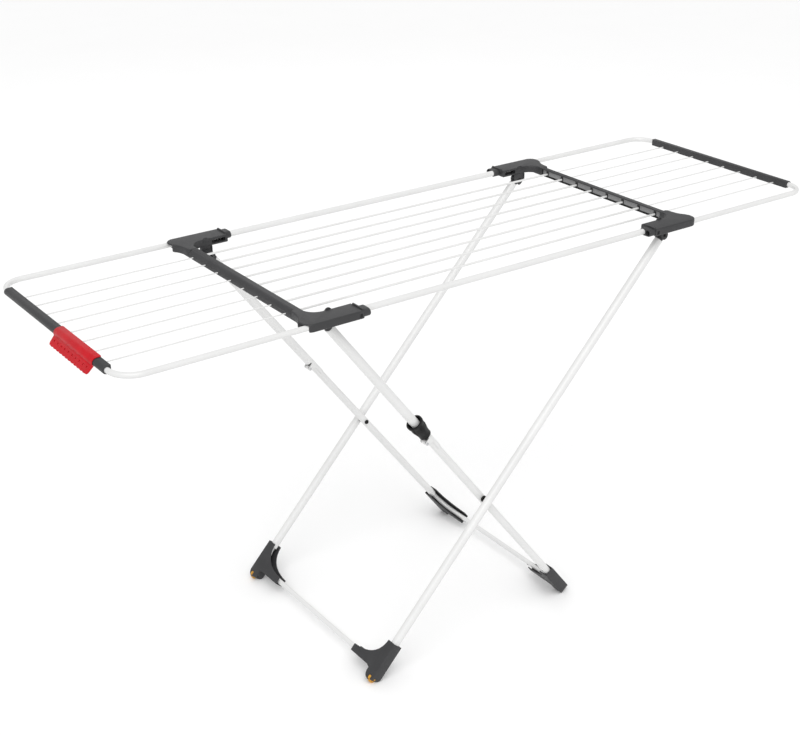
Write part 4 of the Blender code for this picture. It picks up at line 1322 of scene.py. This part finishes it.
@dataclass
class InnerFrame(LegFrame):
    """The inner frame: the knees, the lock sleeve, the crossing rivets and the two plain feet."""

    body: str = "inner_lower_legs"
    foot_end: End = End.RIGHT
    top: tuple[float, float] = (-0.455, 0.9002)
    foot_x: float = 0.205
    plane_y: float = 0.2375
    tube_radius: float = 0.009
    sleeve_low: float = 0.41215
    sleeve_high: float = 0.36215
    sleeve_bore: float = 0.0110
    sleeve_tip: float = 0.0142
    sleeve_radius: float = 0.0178
    sleeve_rim: float = 0.0194
    flutes: int = 6
    flute_radius: float = 0.0046

    def foot_details(self, side: int) -> None:
        """Add the screws that hold a foot to its tubes."""
        tag = Side(side).tag
        self.screw(f"foot_screw_leg_{tag}", side, 0.074, 0.0, -self.tube_radius)
        self.screw(f"foot_screw_bar_{tag}", side, 0.0, 0.108, -self.bar_radius)

    def sleeve(self) -> None:
        """Build the lock sleeve: a funnel with a flared top rim, a narrow tip and grip flutes."""
        low, high, rim, tip = self.sleeve_low, self.sleeve_high, self.sleeve_rim, self.sleeve_tip
        profile = [(self.sleeve_bore, low), (tip - 0.0008, low), (tip, low - 0.0008), (tip, low - 0.011)]
        profile += [(tip + 0.0006, low - 0.014), (self.sleeve_radius - 0.0006, low - 0.026)]
        profile += [(self.sleeve_radius, low - 0.029), (self.sleeve_radius, high + 0.012)]
        profile += [(rim - 0.0005, high + 0.007), (rim, high + 0.006), (rim, high + 0.001)]
        profile += [(rim - 0.001, high), (self.sleeve_bore + 0.0045, high)]
        profile += [(self.sleeve_bore + 0.003, high + 0.009), (self.sleeve_bore, high + 0.012)]
        shape = Shape().turned(profile, 48, True)
        flutes = []
        ends = [(rim + 0.0006, 0, height) for height in (high + 0.006, low + 0.002)]
        for step in range(self.flutes):
            turn = Matrix.Rotation(math.tau * (step + 0.5) / self.flutes, 4, "Z")
            flutes.append(Shape().rod(self.flute_radius, *ends, 16).move(turn))
        place = self.place @ Matrix.Translation((0, -self.plane_y, 0)) @ ALONG_X
        sleeve = Workshop.loose("lock_sleeve_moulding", shape.move(place))
        Workshop.carve(sleeve, [], [flute.move(place) for flute in flutes])
        Workshop.finish(sleeve, BLACK_MOULDING, "lock_sleeve", "lock_sleeve")

    def build(self) -> None:
        """Build the sleeve, the feet and the finishes of the knees."""
        self.sleeve()
        for side in Side:
            tag = side.tag
            dressed = [(f"{node}_leg_{tag}", POWDER_COAT) for node in ("inner_upper", "inner_lower")]
            dressed += [(f"crossing_rivet_{tag}", BLACK_MOULDING), (f"knee_pin_{tag}", ZINC_STEEL)]
            for kind in ("inner", "outer"):
                dressed += [(f"leg_top_{kind}_{tag}", GREY_MOULDING)]
                dressed += [(f"pivot_pin_{kind}_{tag}", BLACK_MOULDING)]
            for node, finish in dressed:
                Workshop.dress_node(node, finish)
        self.build_feet()


# ---------------------------------------------------------------- studio
@dataclass
class Studio:
    """The pale floor, the soft lights and the camera."""

    aim: ClassVar[Vector] = Vector((0, 0, 0.6))
    lens: float = 64.46
    camera_place: tuple[float, float, float] = (-1.8519, -2.4558, 2.0284)
    yaw: float = 54.13
    pitch: float = 24.97
    roll: float = -0.12
    shift: Point = (-0.01175, -0.0045)
    floor_size: float = 60.0
    sky: float = 0.66
    glow: float = 1.35
    lights: list[tuple[str, tuple[float, float, float], float, float]] = field(
        default_factory=lambda: [
            ("key", (-2.6, -3.2, 4.2), 3.0, 28.0),
            ("rim", (1.8, 3.6, 3.4), 3.0, 16.0),
        ]
    )

    def floor(self) -> None:
        """Build a plain pale floor that runs out of view."""
        shape = Shape()
        bmesh.ops.create_grid(shape.bm, x_segments=1, y_segments=1, size=self.floor_size)
        ground = Workshop.loose("floor", shape)
        sheet = NodeSheet("floor_paint")
        tone = sheet.mix(sheet.noise(3.0, 2.0), (0.97, 0.97, 0.97), (0.955, 0.955, 0.955))
        paint = sheet.finish({"Base Color": tone, "Roughness": 0.9, "Specular IOR Level": 0.1})
        ground.data.materials.append(paint)

    def light(self) -> None:
        """Add the world's even light and the soft boxes."""
        world = bpy.data.worlds.new("studio")
        bpy.context.scene.world = world
        world.use_nodes = True
        backdrop = world.node_tree.nodes["Background"]
        backdrop.inputs["Color"].default_value = (1.0, 1.0, 1.0, 1.0)
        backdrop.inputs["Strength"].default_value = self.sky
        for name, place, size, power in self.lights:
            lamp = bpy.data.lights.new(name, "AREA")
            lamp.size = size
            lamp.energy = power
            item = stand(name, lamp)
            item.location = place
            aim = self.aim - Vector(place)
            item.rotation_euler = aim.to_track_quat("-Z", "Y").to_euler()
        sun = bpy.data.lights.new("sky_glow", "SUN")
        sun.energy = self.glow
        sun.angle = math.radians(60)
        item = stand("sky_glow", sun)
        item.rotation_euler = (math.radians(28), math.radians(-22), 0)

    def camera(self) -> None:
        """Set the camera from its place, heading and lens."""
        yaw, pitch, roll = (math.radians(angle) for angle in (self.yaw, self.pitch, self.roll))
        ahead = Vector((math.cos(pitch) * math.cos(yaw), math.cos(pitch) * math.sin(yaw), -math.sin(pitch)))
        right = Vector((math.sin(yaw), -math.cos(yaw), 0))
        up = right.cross(ahead)
        level = Matrix((right, up, -ahead)).transposed().to_4x4()
        data = bpy.data.cameras.new("camera")
        data.sensor_width = 36.0
        data.sensor_fit = "HORIZONTAL"
        data.lens = self.lens
        data.shift_x, data.shift_y = self.shift
        data.clip_end = 100.0
        camera = stand("camera", data)
        camera.matrix_world = Matrix.Translation(self.camera_place) @ level @ Matrix.Rotation(roll, 4, "Z")
        bpy.context.scene.camera = camera

    def build(self) -> None:
        """Build the whole studio."""
        self.floor()
        self.light()
        self.camera()
        bpy.context.scene.view_settings.view_transform = "Standard"


def main() -> None:
    """Build the rack's pieces in order and report them."""
    logging.basicConfig(level=logging.INFO, format="%(name)s: %(message)s")
    Studio().build()
    Tubes().build()
    for end in End:
        Crossbar(end).build()
        Wing(end).build()
    HandGrip().build()
    OuterFrame().build()
    InnerFrame().build()


if __name__ == "__main__":
    main()
